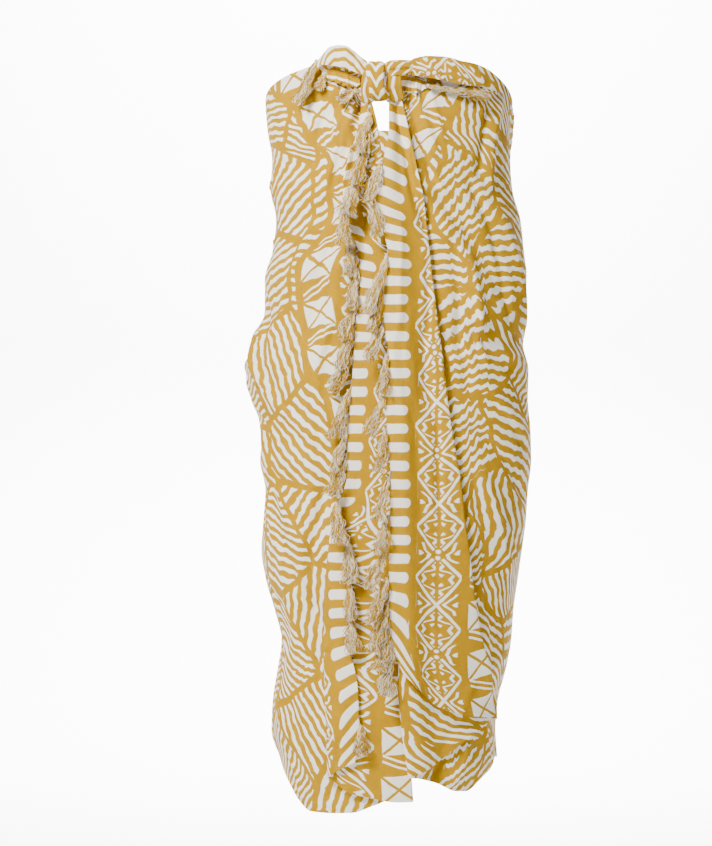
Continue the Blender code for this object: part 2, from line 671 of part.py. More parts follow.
def left_end_path(z):
    """The folded left end at one height: (x, depth, along) from its edge."""
    row = {name: smooth(LEFT_END, "z", name, z) for name in ("inner", "outer", "turn", "strip")}
    gap = layer(z)
    turn = math.radians(max(row["turn"], LEAST_TURN))
    arc = math.pi * gap / 2
    radius = arc / turn
    curl = []
    for k in range(LEFT_STRIP_COLUMNS):
        straight = row["strip"] * (1 - k / LEFT_STRIP_COLUMNS)
        x = -radius * math.sin(turn) - straight * math.cos(turn)
        depth = radius * (1 - math.cos(turn)) + straight * math.sin(turn)
        curl.append((x, gap + depth, STRIP_ALONG * k / LEFT_STRIP_COLUMNS))
    for share in TURN_SHARES[::-1]:
        x = -radius * math.sin(turn * share)
        depth = radius * (1 - math.cos(turn * share))
        curl.append((x, gap + depth, 1.0 + TURN_ALONG * (0.5 - share)))
    reach = min(x for x, _, _ in curl)
    curl = [(x - reach + row["outer"], depth, along) for x, depth, along in curl]
    start = row["outer"] - reach
    end = row["inner"] - gap / 2
    middle = []
    for k, along in enumerate(np.linspace(*MIDDLE_ALONG, MIDDLE_COLUMNS)):
        share = k / (MIDDLE_COLUMNS - 1)
        middle.append((start + (end - start) * share, gap, along))
    inner = []
    for share in TURN_SHARES:
        angle = math.pi * share
        inner.append((end + gap / 2 * math.sin(angle), gap / 2 * (1 + math.cos(angle)), 2.0))
    for share in (0.0, 1.0):
        inner.append((end + (row["inner"] - LEFT_SEAM - end) * share, 0.0, 2.5 + 0.5 * share))
    return curl + middle + inner


def right_end_path(z):
    """The folded right end at one height: (x, depth, along) from its edge."""
    row = {name: smooth(RIGHT_END, "z", name, z) for name in ("edge", "outer", "inner", "groove")}
    gap = layer(z)
    radius = gap / 2
    start, end = row["edge"], row["outer"] - radius
    path = []
    for k in range(STRIP_COLUMNS + 1):
        share = k / STRIP_COLUMNS
        puff = row["groove"] * (1 - math.exp(-(((share - GROOVE_AT) / GROOVE_WIDTH) ** 2)))
        puff *= 1 - share ** 4
        path.append((start + (end - start) * share, 2 * gap + puff, STRIP_ALONG * share))
    for share in TURN_SHARES:
        angle = math.pi * share
        path.append((end + radius * math.sin(angle), gap + radius * (1 + math.cos(angle)), 1.0))
    back = row["inner"] + radius
    for k, along in enumerate(np.linspace(*MIDDLE_ALONG, MIDDLE_COLUMNS)):
        share = k / (MIDDLE_COLUMNS - 1)
        path.append((end + (back - end) * share, gap, along))
    for share in TURN_SHARES:
        angle = math.pi * share
        path.append((back - radius * math.sin(angle), radius * (1 + math.cos(angle)), 2.0))
    for share in (0.0, 1.0):
        x = back + (row["inner"] + RIGHT_SEAM - back) * share
        path.append((x, 0.0, 2.5 + 0.5 * share))
    return path


def end_point(x, depth, z, raised):
    """A point of a folded end, from its place in the front view."""
    around = around_of(x, z)
    reach = tube_point(around, z)[0]
    _, _, along, _ = tube_frame(around, z)
    shift = (x - reach) / max(along[0], LEAST_FACING)
    out = depth + (lift(x, z) if raised else 0.0)
    return placed(around, z, out, shift)


def end_grid(path, hem_table, seam_heights, raised):
    """A folded end as a grid: each column keeps its place along the path."""
    grid = []
    alongs = [along for _, _, along in path(0.0)]
    top, seam_hem = seam_heights[0], seam_heights[-1]
    for height in seam_heights:
        share = (height - top) / (seam_hem - top)
        row = []
        for j, along in enumerate(alongs):
            hem = smooth(hem_table, "along", "z", along)
            z = height if along == 3 else top + (hem - top) * share
            x, depth, _ = path(z)[j]
            row.append(end_point(x, depth, z, raised))
        grid.append(row)
    return np.array(grid)


def resampled(table, by, count, fields):
    """Rows of a table read at even steps along one of its columns."""
    values = column(table, by)
    for value in np.linspace(values[0], values[-1], count):
        yield float(value), [smooth(table, by, name, value) for name in fields]


def leaf_grid(table):
    """Doubled cloth folded over along its top, open below."""
    grid = []
    for leaf in table:
        gap = leaf.half_gap
        section = []
        for k in range(LEAF_BACK_COLUMNS):
            share = k / LEAF_BACK_COLUMNS
            section.append((-gap, leaf.back + (leaf.top - gap - leaf.back) * share))
        for degrees in LEAF_TURN:
            angle = math.radians(degrees)
            section.append((gap * math.cos(angle), leaf.top - gap + gap * math.sin(angle)))
        for k in range(1, LEAF_FRONT_COLUMNS + 1):
            share = k / LEAF_FRONT_COLUMNS
            bulge = leaf.belly * math.sin(math.pi * share)
            section.append((gap + bulge, leaf.top - gap - (leaf.top - gap - leaf.bottom) * share))
        grid.append([end_point(leaf.x, leaf.stand + out, z, False) for out, z in section])
    return np.array(grid)


def ruffle_grid(table):
    """A strip of cloth with waves along it."""
    grid = []
    rows = resampled(table, "x", RUFFLE_ROWS, ("top", "bottom", "stand"))
    for i, (x, (top, bottom, stand)) in enumerate(rows):
        row = []
        for k in range(RUFFLE_COLUMNS):
            share = k / (RUFFLE_COLUMNS - 1)
            phase = 2 * math.pi * RUFFLE_WAVES * i / (RUFFLE_ROWS - 1) + share
            depth = RUFFLE_DEPTH * (RUFFLE_ROOT + (1 - RUFFLE_ROOT) * share)
            out = stand + depth * math.sin(phase)
            row.append(end_point(x, out, top + (bottom - top) * share, False))
        grid.append(row)
    return np.array(grid)


def add_roll(name, table, side, colour):
    """A gathered roll of cloth with grooves along it, closed at both ends."""
    middle = seen([(row.x, KNOT_PLANE - row.out, row.z) for row in table])
    along = np.gradient(middle, axis=0)
    side = np.array(side, float)
    rings = []
    for row, centre, heading in zip(table, middle, along):
        heading = heading / np.linalg.norm(heading)
        across = side - heading * side.dot(heading)
        across /= np.linalg.norm(across)
        up = np.cross(heading, across)
        ring = []
        for k in range(ROLL_SIDES):
            angle = 2 * math.pi * k / ROLL_SIDES
            reach = 1 + ROLL_GROOVE * math.cos(ROLL_GROOVES * angle + 1) - ROLL_GROOVE
            offset = across * row.half_width * math.cos(angle) * reach
            ring.append(centre + offset + up * row.half_depth * math.sin(angle) * reach)
        rings.append(ring)

    def fill(shape):
        made = [[shape.verts.new(point) for point in ring] for ring in rings]
        for one, two in zip(made, made[1:]):
            for k in range(ROLL_SIDES):
                m = (k + 1) % ROLL_SIDES
                shape.faces.new((one[k], one[m], two[m], two[k]))
        shape.faces.new(made[0])
        shape.faces.new(made[-1])

    add_object(name, fill, colour)


def cover(x, z):
    """How far the outermost cloth of the front stands out at one place."""
    most = 0.0
    for path, raised in ((left_end_path, False), (right_end_path, True)):
        points = path(z)
        rise = lift(x, z) if raised else 0.0
        for (x0, out0, _), (x1, out1, _) in zip(points, points[1:]):
            if min(x0, x1) - BEAD <= x <= max(x0, x1) + BEAD:
                most = max(most, out0 + rise, out1 + rise)
    return most + HALF_CLOTH


def front_place(point):
    """A point of the front as (x, out, z), the inverse of end_point."""
    x, out, z = point[0], 0.0, point[2]
    for _ in range(SETTLING_STEPS):
        made = end_point(x, out, z, False)
        x += point[0] - made[0]
        out += made[1] - point[1]
    return np.array((x, out, z))


def tassel_line(bead, tip, spread, hung):
    """The middle line of a tassel, clear of the cloth and of what hangs there.

    It leans outwards on its way down, so it lies on the next tassel.
    """
    length = math.hypot(tip[0] - bead[0], tip[2] - bead[2])
    line = []
    for i in range(STRAND_STEPS + 1):
        share = i / STRAND_STEPS
        x, _, z = bead + (tip - bead) * share
        out = bead[1] + TASSEL_TILT * length * share
        if i == 0:
            out += ROOT_RISE
            z -= ROOT_RISE
        else:
            near = max(cover(x + side * spread, z) for side in (-1, 0, 1))
            out = max(out, near + CLOTH_CLEARANCE)
            for other_x, other_out, other_z in hung:
                near_across = abs(x - other_x) < NEAR_ACROSS * spread
                if near_across and abs(z - other_z) < NEAR_DOWN * length:
                    out = max(out, other_out + TASSEL_CLEARANCE)
        line.append(np.array((x, out, z)))
    for one, two in zip(line, line[1:]):
        hung.extend(one + (two - one) * share for share in (0, 0.33, 0.67))
    hung.append(line[-1])
    return line


def add_tassel(name, bead, tip, spread, hung):
    """A knotted tassel: a small head and strands that fan out from it."""
    bead, tip = np.array(bead, float), np.array(tip, float)
    line = tassel_line(bead, tip, spread, hung)
    down = np.array((tip[0] - bead[0], 0.0, tip[2] - bead[2]))
    down /= np.linalg.norm(down)
    aside = np.array((-down[2], 0.0, down[0]))
    outward = np.array((0.0, 1.0, 0.0))

    def spot(point):
        return seen(end_point(point[0], point[1], point[2], False))

    def ring_point(k):
        angle = 2 * math.pi * k / BEAD_SIDES
        return (aside * math.cos(angle) + outward * math.sin(angle)) * BEAD

    strands = []
    for k in range(BEAD_SIDES):
        corners = (np.zeros(3), ring_point(k), ring_point(k + 1))
        middle = sum(corners) / 3
        stages = []
        for i, point in enumerate(line):
            share = i / STRAND_STEPS
            thick = STRAND_INSET * (1 - STRAND_TAPER * share)
            fan = middle / BEAD * spread * share
            fan[1] *= STRAND_FLATTENING
            wave = aside * STRAND_WAVE * share * math.sin(2 * math.pi * STRAND_WAVES * share)
            centre = point + down * BEAD + middle + fan + wave
            stages.append([spot(centre + (c - middle) * thick) for c in corners])
        strands.append(stages)

    def fill(shape):
        new = shape.verts.new
        apex = new(spot(bead - down * BEAD))
        centre = new(spot(bead + down * BEAD))
        rise = down * BEAD * BEAD_SHOULDER
        high = [new(spot(bead + ring_point(k) - rise)) for k in range(BEAD_SIDES)]
        low = [new(spot(bead + ring_point(k) + down * BEAD)) for k in range(BEAD_SIDES)]
        for k in range(BEAD_SIDES):
            m = (k + 1) % BEAD_SIDES
            shape.faces.new((apex, high[k], high[m]))
            shape.faces.new((high[k], low[k], low[m], high[m]))
            ring = (centre, low[k], low[m])
            for stage in strands[k]:
                made = tuple(new(p) for p in stage)
                for a in range(3):
                    b = (a + 1) % 3
                    shape.faces.new((ring[a], ring[b], made[b], made[a]))
                ring = made
            shape.faces.new(ring)

    add_object(name, fill, FRINGE_COLOUR, FRINGE_ROUGHNESS)


def column_point(grid, j, z):
    """Where a column of a grid passes a height."""
    return np.array([np.interp(-z, -grid[:, j, 2], grid[:, j, k]) for k in range(3)])


def edge_bead(grid, z):
    """Where a bead sits, just off the fringed edge of an end's grid."""
    edge = column_point(grid, 0, z)
    along = column_point(grid, 0, z + BEAD) - column_point(grid, 0, z - BEAD)
    along /= np.linalg.norm(along)
    off = edge - column_point(grid, 1, z)
    off -= along * off.dot(along)
    off /= np.linalg.norm(off)
    return front_place(edge + off * (BEAD + BEAD_GAP))


def edge_tassels(prefix, table, grid, hung):
    """Tassels along a fringed edge, hung from the lowest up."""
    for number in range(len(table), 0, -1):
        row = table[number - 1]
        bead = edge_bead(grid, row.z)
        fall = math.sqrt(row.length ** 2 - (row.tip_x - bead[0]) ** 2)
        tip = (row.tip_x, bead[1], row.z - fall)
        add_tassel(f"{prefix}_{number:02d}", bead, tip, STRAND_SPREAD, hung)


def build_knot():
    wall("left_wing", leaf_grid(LEFT_WING), MUSTARD)
    wall("right_collar", leaf_grid(RIGHT_COLLAR), MUSTARD)
    wall("left_ruffle", ruffle_grid(LEFT_RUFFLE), MUSTARD_SHADE)
    wall("right_ruffle", ruffle_grid(RIGHT_RUFFLE), MUSTARD_SHADE)
    add_roll("knot_loop", KNOT_LOOP, (1, 0, 0), MUSTARD)
    add_roll("knot_band", KNOT_BAND, (0, 0, 1), MUSTARD_SHADE)
    add_roll("knot_left_root", KNOT_LEFT_ROOT, (1, 0, 0), MUSTARD_SHADE)
    add_roll("knot_right_root", KNOT_RIGHT_ROOT, (1, 0, 0), MUSTARD_SHADE)


def build_fringe(left_end, right_end):
    hung = []
    edge_tassels("right_tassel", RIGHT_TASSELS, right_end, hung)
    edge_tassels("left_tassel", LEFT_TASSELS, left_end, hung)
    for row in FREE_TASSELS:
        bead = (row.x, row.out, row.z)
        add_tassel(row.name, bead, (row.tip_x, row.out, row.tip_z), row.spread, hung)


def build_cloth():
    gap = side_gap()
    left = panel_grid(-90 + gap, left_seam, LEFT_COLUMNS, LEFT_CROWDING)
    right = panel_grid(right_seam, 90 - gap, RIGHT_COLUMNS, RIGHT_CROWDING, raised=True)
    wall("left_front", left, MUSTARD)
    wall("right_front", right, MUSTARD)
    wall("back", panel_grid(90 + gap, 270 - gap, BACK_COLUMNS), MUSTARD)
    left_end = end_grid(left_end_path, LEFT_END_HEM, left[1:, -1, 2], False)
    wall("left_end", left_end, MUSTARD_SHADE)
    right_end = end_grid(right_end_path, RIGHT_END_HEM, right[1:, 0, 2], True)
    wall("right_end", right_end, MUSTARD)
    return left_end, right_end


def main():
    for old in list(bpy.data.objects):
        bpy.data.objects.remove(old)
    left_end, right_end = build_cloth()
    build_knot()
    build_fringe(left_end, right_end)


main()
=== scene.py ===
"""Looks of a fringed, block-printed sarong tied at the chest and worn as a dress.

The cloth is one thin sheet wound once round the body. Its two ends meet at
the front and fold back on themselves. X is to the viewer's right, the front
faces -Y and Z is up, in metres, from the middle of the chest.
"""

import math
from collections import namedtuple

import bmesh
import bpy
import numpy as np
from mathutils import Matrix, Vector


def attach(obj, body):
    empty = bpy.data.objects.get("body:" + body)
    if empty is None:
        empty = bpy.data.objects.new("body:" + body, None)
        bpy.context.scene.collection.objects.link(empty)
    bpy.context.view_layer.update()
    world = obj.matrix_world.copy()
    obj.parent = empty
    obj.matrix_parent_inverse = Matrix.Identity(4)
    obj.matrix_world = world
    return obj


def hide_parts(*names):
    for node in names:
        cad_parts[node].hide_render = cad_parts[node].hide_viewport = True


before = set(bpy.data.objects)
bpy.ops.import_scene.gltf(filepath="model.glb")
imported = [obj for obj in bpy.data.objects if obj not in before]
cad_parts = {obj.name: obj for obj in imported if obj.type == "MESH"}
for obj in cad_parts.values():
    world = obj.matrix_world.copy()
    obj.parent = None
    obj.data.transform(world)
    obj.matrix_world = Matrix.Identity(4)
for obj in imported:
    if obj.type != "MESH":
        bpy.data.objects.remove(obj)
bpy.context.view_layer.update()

CLOTH = 0.0015
HALF_CLOTH = CLOTH / 2

# The front view was measured from this far off, along this line of sight.
VIEW_DISTANCE = 4.0
VIEW_X = -0.048
VIEW_Z = -0.4845
# The height that the view takes in at that distance.
VIEW_HEIGHT = 1.269

# How square the worn tube is in plan: 1 is an ellipse, less is squarer.
SQUARE_X = 0.94
SQUARE_Y = 0.88
# The radius that turns an angle round the body into a length of cloth.
GIRTH_RADIUS = 0.170


def table(kind, *rows):
    """A table whose rows are all of one kind."""
    return tuple(kind(*row) for row in rows)


# The worn tube, seen from the front: its two sides, and how far it stands
# out in front and behind.
Section = namedtuple("Section", "z left right front back")
SECTIONS = table(
    Section,
    (0.09, -0.174, 0.178, 0.114, 0.104),
    (0.0, -0.184, 0.187, 0.122, 0.11),
    (-0.045, -0.181, 0.183, 0.13, 0.108),
    (-0.09, -0.174, 0.182, 0.133, 0.104),
    (-0.135, -0.176, 0.186, 0.133, 0.102),
    (-0.18, -0.168, 0.199, 0.132, 0.102),
    (-0.225, -0.173, 0.204, 0.131, 0.104),
    (-0.27, -0.185, 0.208, 0.132, 0.107),
    (-0.315, -0.185, 0.206, 0.134, 0.112),
    (-0.36, -0.199, 0.201, 0.136, 0.118),
    (-0.405, -0.213, 0.211, 0.139, 0.125),
    (-0.45, -0.205, 0.21, 0.14, 0.13),
    (-0.495, -0.188, 0.214, 0.141, 0.132),
    (-0.54, -0.192, 0.215, 0.141, 0.132),
    (-0.585, -0.184, 0.21, 0.14, 0.131),
    (-0.63, -0.187, 0.207, 0.139, 0.129),
    (-0.675, -0.19, 0.201, 0.138, 0.127),
    (-0.72, -0.183, 0.194, 0.137, 0.125),
    (-0.765, -0.17, 0.187, 0.136, 0.123),
    (-0.81, -0.16, 0.183, 0.134, 0.121),
    (-0.855, -0.166, 0.174, 0.132, 0.119),
    (-0.9, -0.173, 0.162, 0.13, 0.117),
    (-0.945, -0.175, 0.158, 0.128, 0.115),
    (-0.99, -0.161, 0.16, 0.125, 0.112),
    (-1.035, -0.152, 0.15, 0.121, 0.108),
    (-1.09, -0.146, 0.142, 0.116, 0.104),
)

# The top edge and the hem, by the angle round the body in degrees: 0 is the
# front, 90 the viewer's right side, 180 the back.
Edge = namedtuple("Edge", "around top hem")
EDGES = table(
    Edge,
    (-180, -0.046, -1.005),
    (-150, -0.042, -1.0),
    (-120, -0.026, -0.99),
    (-90, 0.0, -0.997),
    (-75, 0.018, -1.022),
    (-62, 0.031, -1.05),
    (-50, 0.042, -1.067),
    (-30, 0.054, -1.07),
    (-18, 0.052, -1.069),
    (-10, 0.046, -1.062),
    (0, 0.045, -1.05),
    (11, 0.052, -1.017),
    (18, 0.06, -1.02),
    (27, 0.061, -1.025),
    (42, 0.056, -1.037),
    (50, 0.05, -1.037),
    (66, 0.029, -1.015),
    (77, 0.013, -1.001),
    (90, -0.004, -0.985),
    (120, -0.026, -0.985),
    (150, -0.042, -0.998),
    (180, -0.046, -1.005),
)

# Folds and drag lines of the cloth. Each runs from one angle and height to
# another, and stands out by its height, or sinks where that is negative.
Fold = namedtuple("Fold", "around0 z0 around1 z1 width height")
FRONT_FOLDS = table(
    Fold,
    (-15, 0.004, -34, -0.15, 0.01, 0.007),
    (-12, -0.004, -21, -0.085, 0.006, -0.005),
    (-24, 0.02, -48, -0.08, 0.012, 0.004),
    (-22, -0.16, -46, -0.75, 0.014, 0.008),
    (-30, -0.23, -35, -0.56, 0.012, -0.004),
    (-92, -0.34, -36, -0.51, 0.018, 0.007),
    (-84, -0.29, -48, -0.47, 0.014, -0.006),
    (-84, -0.48, -44, -0.67, 0.014, 0.006),
    (-78, -0.55, -34, -0.8, 0.014, -0.005),
    (-56, -0.68, -62, -0.83, 0.014, 0.005),
    (-60, -0.86, -30, -0.825, 0.007, -0.004),
    (-46, -0.75, -34, -0.93, 0.012, -0.005),
    (-72, -0.89, -38, -1.04, 0.016, 0.006),
    (-18, -0.88, -20, -1.05, 0.014, 0.004),
    (14, -0.13, 42, -0.345, 0.016, 0.006),
    (20, -0.14, 56, -0.3, 0.018, -0.007),
    (56, -0.17, 86, -0.35, 0.016, 0.006),
    (36, -0.34, 78, -0.45, 0.018, -0.007),
    (26, -0.38, 72, -0.51, 0.018, 0.007),
    (32, -0.49, 78, -0.6, 0.016, -0.006),
    (36, -0.55, 66, -0.71, 0.016, 0.006),
    (42, -0.68, 62, -0.84, 0.014, -0.006),
    (50, -0.77, 54, -0.9, 0.014, 0.005),
    (52, -0.94, 38, -1.03, 0.012, 0.006),
    (40, -0.93, 22, -1.02, 0.01, -0.005),
    (64, 0.01, 54, -0.135, 0.01, 0.005),
    (55, 0.01, 47, -0.115, 0.008, -0.005),
)
BACK_FOLDS = table(
    Fold,
    (104, 0.0, 116, -0.5, 0.02, 0.008),
    (128, 0.01, 142, -0.45, 0.018, -0.008),
    (150, 0.0, 158, -0.7, 0.022, 0.009),
    (175, 0.01, 170, -0.55, 0.02, -0.008),
    (-165, 0.0, -172, -0.62, 0.022, 0.009),
    (-148, 0.01, -151, -0.5, 0.018, -0.008),
    (-127, 0.0, -121, -0.6, 0.02, 0.008),
    (-107, 0.01, -103, -0.42, 0.016, -0.006),
    (159, -0.56, 176, -1.06, 0.025, 0.011),
    (-159, -0.6, -148, -1.06, 0.024, -0.01),
    (131, -0.55, 121, -1.06, 0.02, -0.009),
    (-124, -0.65, -136, -1.06, 0.02, 0.009),
    (108, -0.6, 101, -1.05, 0.018, 0.007),
    (94, -0.34, 150, -0.48, 0.018, 0.006),
    (-94, -0.39, -150, -0.53, 0.018, 0.006),
)
FOLD_FADE = 0.16

# How far apart the folded layers of the ends lie: tight at the knot.
Spacing = namedtuple("Spacing", "z layer")
SPACINGS = table(
    Spacing,
    (0.03, 0.0032),
    (0.0, 0.0034),
    (-0.1, 0.005),
    (-0.3, 0.007),
    (-0.6, 0.0082),
    (-1.1, 0.0088),
)

# The viewer's left end: the fold nearest the middle, how far left the end
# reaches, how far its fringed edge is curled over, and the width that is.
LeftEnd = namedtuple("LeftEnd", "z inner outer turn strip")
LEFT_END = table(
    LeftEnd,
    (0.003, -0.0255, -0.04, 180, 0.0075),
    (-0.036, -0.0158, -0.044, 180, 0.012),
    (-0.08, -0.009, -0.0555, 180, 0.015),
    (-0.123, -0.0015, -0.064, 165, 0.016),
    (-0.155, 0.0025, -0.064, 120, 0.012),
    (-0.19, 0.0045, -0.056, 60, 0.008),
    (-0.225, 0.005, -0.044, 0, 0.005),
    (-0.26, 0.006, -0.041, 0, 0.005),
    (-0.33, 0.0065, -0.047, 0, 0.005),
    (-0.42, 0.008, -0.053, 0, 0.005),
    (-0.51, 0.009, -0.0585, 0, 0.005),
    (-0.57, 0.0105, -0.06, 20, 0.006),
    (-0.615, 0.012, -0.072, 100, 0.012),
    (-0.665, 0.0135, -0.085, 180, 0.021),
    (-0.73, 0.015, -0.09, 180, 0.027),
    (-0.81, 0.018, -0.0915, 180, 0.032),
    (-0.885, 0.021, -0.09, 180, 0.043),
    (-0.945, 0.027, -0.0885, 180, 0.043),
    (-1.012, 0.0345, -0.085, 180, 0.033),
    (-1.06, 0.038, -0.081, 180, 0.03),
)

# The viewer's right end: its fringed edge, the fold at its right, the fold
# hidden behind it, and how deep the groove beside the edge bars is.
RightEnd = namedtuple("RightEnd", "z edge outer inner groove")
RIGHT_END = table(
    RightEnd,
    (0.0075, 0.0012, 0.0185, 0.0045, 0.002),
    (-0.015, 0.0012, 0.024, 0.0045, 0.004),
    (-0.042, 0.0012, 0.03, 0.0045, 0.005),
    (-0.08, -0.0045, 0.038, 0.002, 0.006),
    (-0.123, -0.0105, 0.047, 0.001, 0.006),
    (-0.152, -0.016, 0.053, 0.002, 0.005),
    (-0.195, -0.006, 0.058, 0.006, 0.004),
    (-0.237, 0.002, 0.063, 0.0105, 0.003),
    (-0.285, -0.0048, 0.0675, 0.0135, 0.002),
    (-0.337, -0.0052, 0.0735, 0.0135, 0.001),
    (-0.385, 0.0012, 0.0795, 0.0135, 0.0),
    (-0.45, -0.0028, 0.087, 0.0135, 0.0),
    (-0.51, 0.001, 0.096, 0.015, 0.0),
    (-0.57, 0.0045, 0.105, 0.0165, 0.0),
    (-0.637, 0.0035, 0.1125, 0.018, 0.0),
    (-0.69, 0.002, 0.1185, 0.018, 0.0),
    (-0.737, 0.0024, 0.123, 0.018, 0.0),
    (-0.79, 0.004, 0.1305, 0.018, 0.0),
    (-0.845, 0.015, 0.1395, 0.015, 0.0),
    (-0.885, 0.03, 0.1455, 0.0135, 0.0),
    (-0.93, 0.04, 0.15, 0.0165, 0.0),
    (-1.02, 0.05, 0.15, 0.0285, 0.0),
)

# The hem of each end, by how far round its path it lies: 0 is the fringed
# edge, 1 the outer fold, 2 the inner fold, 3 where it joins its panel.
Hem = namedtuple("Hem", "along z")
LEFT_END_HEM = table(
    Hem,
    (0.0, -0.994),
    (1.0, -1.017),
    (1.25, -1.04),
    (1.5, -1.048),
    (1.75, -1.054),
    (2.0, -1.053),
    (3.0, -1.05),
)
RIGHT_END_HEM = table(
    Hem,
    (0.0, -0.862),
    (0.12, -0.89),
    (0.3, -0.911),
    (0.6, -0.923),
    (1.0, -0.929),
    (1.3, -0.96),
    (1.6, -0.994),
    (1.85, -1.012),
    (2.0, -1.017),
    (3.0, -1.018),
)
# The knotted ends begin this far below the top edge.
YOKE = 0.042
LEFT_SEAM = 0.0100
RIGHT_SEAM = 0.0120
# How the right end steps over the left one.
OVERLAP_RISE = 0.0010
OVERLAP_FLAT = 0.0100
OVERLAP_RAMP = 0.0350
# Where the groove beside the edge bars lies across the strip, and its width.
GROOVE_AT = 0.55
GROOVE_WIDTH = 0.2
MOST_AROUND = 80.0
# The least share of a step round the girth that counts as seen from the front.
LEAST_FACING = 0.3
# A slanting side and a sloping hem depend on each other: this many rounds
# settle both.
SETTLING_STEPS = 8

# Where the columns of a folded end lie, from its fringed edge: 1 is the
# middle of the outer fold's turn, 2 that of the inner one, 3 the seam.
TURN_ALONG = 0.1
STRIP_ALONG = 0.94
MIDDLE_ALONG = (1.06, 1.92)
# The smallest turn, in degrees, that a strip's curl is worked out for.
LEAST_TURN = 0.5

# The tied ends and the turned-over top are doubled cloth, open below: where
# each stands along the front, its top, and how its two leaves hang.
Leaf = namedtuple("Leaf", "x top bottom back belly half_gap stand")
LEFT_WING = table(
    Leaf,
    (-0.0297, 0.058, 0.036, 0.04, 0.002, 0.004, 0.0145),
    (-0.04, 0.066, 0.039, 0.043, 0.003, 0.0045, 0.015),
    (-0.049, 0.074, 0.043, 0.048, 0.004, 0.005, 0.015),
    (-0.06, 0.0815, 0.0465, 0.054, 0.0045, 0.005, 0.015),
    (-0.072, 0.0825, 0.0505, 0.056, 0.004, 0.0045, 0.0145),
    (-0.083, 0.08, 0.052, 0.057, 0.003, 0.004, 0.014),
    (-0.0925, 0.07, 0.053, 0.057, 0.0015, 0.003, 0.0135),
    (-0.1, 0.061, 0.053, 0.055, 0.0005, 0.0018, 0.013),
)
RIGHT_COLLAR = table(
    Leaf,
    (0.027, 0.046, 0.037, 0.04, 0.001, 0.003, 0.013),
    (0.035, 0.0615, 0.037, 0.042, 0.003, 0.004, 0.014),
    (0.058, 0.0665, 0.0335, 0.044, 0.0045, 0.0045, 0.014),
    (0.08, 0.0655, 0.029, 0.042, 0.005, 0.0045, 0.014),
    (0.1, 0.0605, 0.0245, 0.037, 0.0045, 0.0045, 0.014),
    (0.117, 0.053, 0.0215, 0.03, 0.004, 0.004, 0.0135),
    (0.132, 0.043, 0.02, 0.024, 0.003, 0.0035, 0.0125),
    (0.145, 0.033, 0.015, 0.019, 0.002, 0.003, 0.0115),
    (0.157, 0.023, 0.008, 0.012, 0.001, 0.0025, 0.0105),
)

# The frayed ruffles below the knot: single cloth, waved along its length.
Ruffle = namedtuple("Ruffle", "x top bottom stand")
LEFT_RUFFLE = table(
    Ruffle,
    (-0.041, 0.033, 0.022, 0.006),
    (-0.052, 0.037, 0.02, 0.0068),
    (-0.064, 0.041, 0.021, 0.0067),
    (-0.076, 0.045, 0.026, 0.0062),
    (-0.09, 0.047, 0.031, 0.0057),
)
RIGHT_RUFFLE = table(
    Ruffle,
    (0.012, 0.034, 0.019, 0.0055),
    (0.023, 0.037, 0.012, 0.0052),
    (0.036, 0.035, 0.011, 0.0046),
    (0.048, 0.032, 0.013, 0.0041),
    (0.056, 0.029, 0.017, 0.0036),
)
RUFFLE_WAVES = 3
RUFFLE_DEPTH = 0.0022
# The waves' depth at a ruffle's root, as a share of that at its free edge.
RUFFLE_ROOT = 0.3

# The rolls of the knot, each a gathered stretch of cloth: its middle line and
# its half width and half depth along it.
KNOT_PLANE = -0.122
Roll = namedtuple("Roll", "x z out half_width half_depth")
KNOT_LOOP = table(
    Roll,
    (-0.018, 0.048, 0.005, 0.0115, 0.004),
    (-0.0185, 0.0545, 0.013, 0.0125, 0.0045),
    (-0.019, 0.05, 0.024, 0.013, 0.006),
    (-0.019, 0.038, 0.03, 0.012, 0.0068),
    (-0.0178, 0.026, 0.031, 0.0102, 0.007),
    (-0.0165, 0.015, 0.0285, 0.01, 0.0066),
    (-0.0152, 0.007, 0.0235, 0.0122, 0.0058),
    (-0.0148, 0.002, 0.016, 0.0134, 0.0045),
)
KNOT_BAND = table(
    Roll,
    (-0.0037, 0.045, 0.017, 0.0085, 0.0078),
    (0.006, 0.0478, 0.0185, 0.0118, 0.0088),
    (0.0165, 0.049, 0.017, 0.0112, 0.0082),
    (0.0262, 0.05, 0.014, 0.0085, 0.0062),
)
KNOT_LEFT_ROOT = table(
    Roll,
    (-0.034, 0.004, 0.009, 0.0055, 0.0045),
    (-0.0345, 0.012, 0.0125, 0.006, 0.0052),
    (-0.0345, 0.022, 0.015, 0.0055, 0.005),
    (-0.0335, 0.031, 0.016, 0.0045, 0.0042),
)
KNOT_RIGHT_ROOT = table(
    Roll,
    (0.0065, 0.0067, 0.012, 0.006, 0.0048),
    (0.0045, 0.016, 0.016, 0.0062, 0.0055),
    (0.0038, 0.025, 0.0185, 0.0058, 0.0055),
    (0.0035, 0.0358, 0.019, 0.005, 0.0048),
)

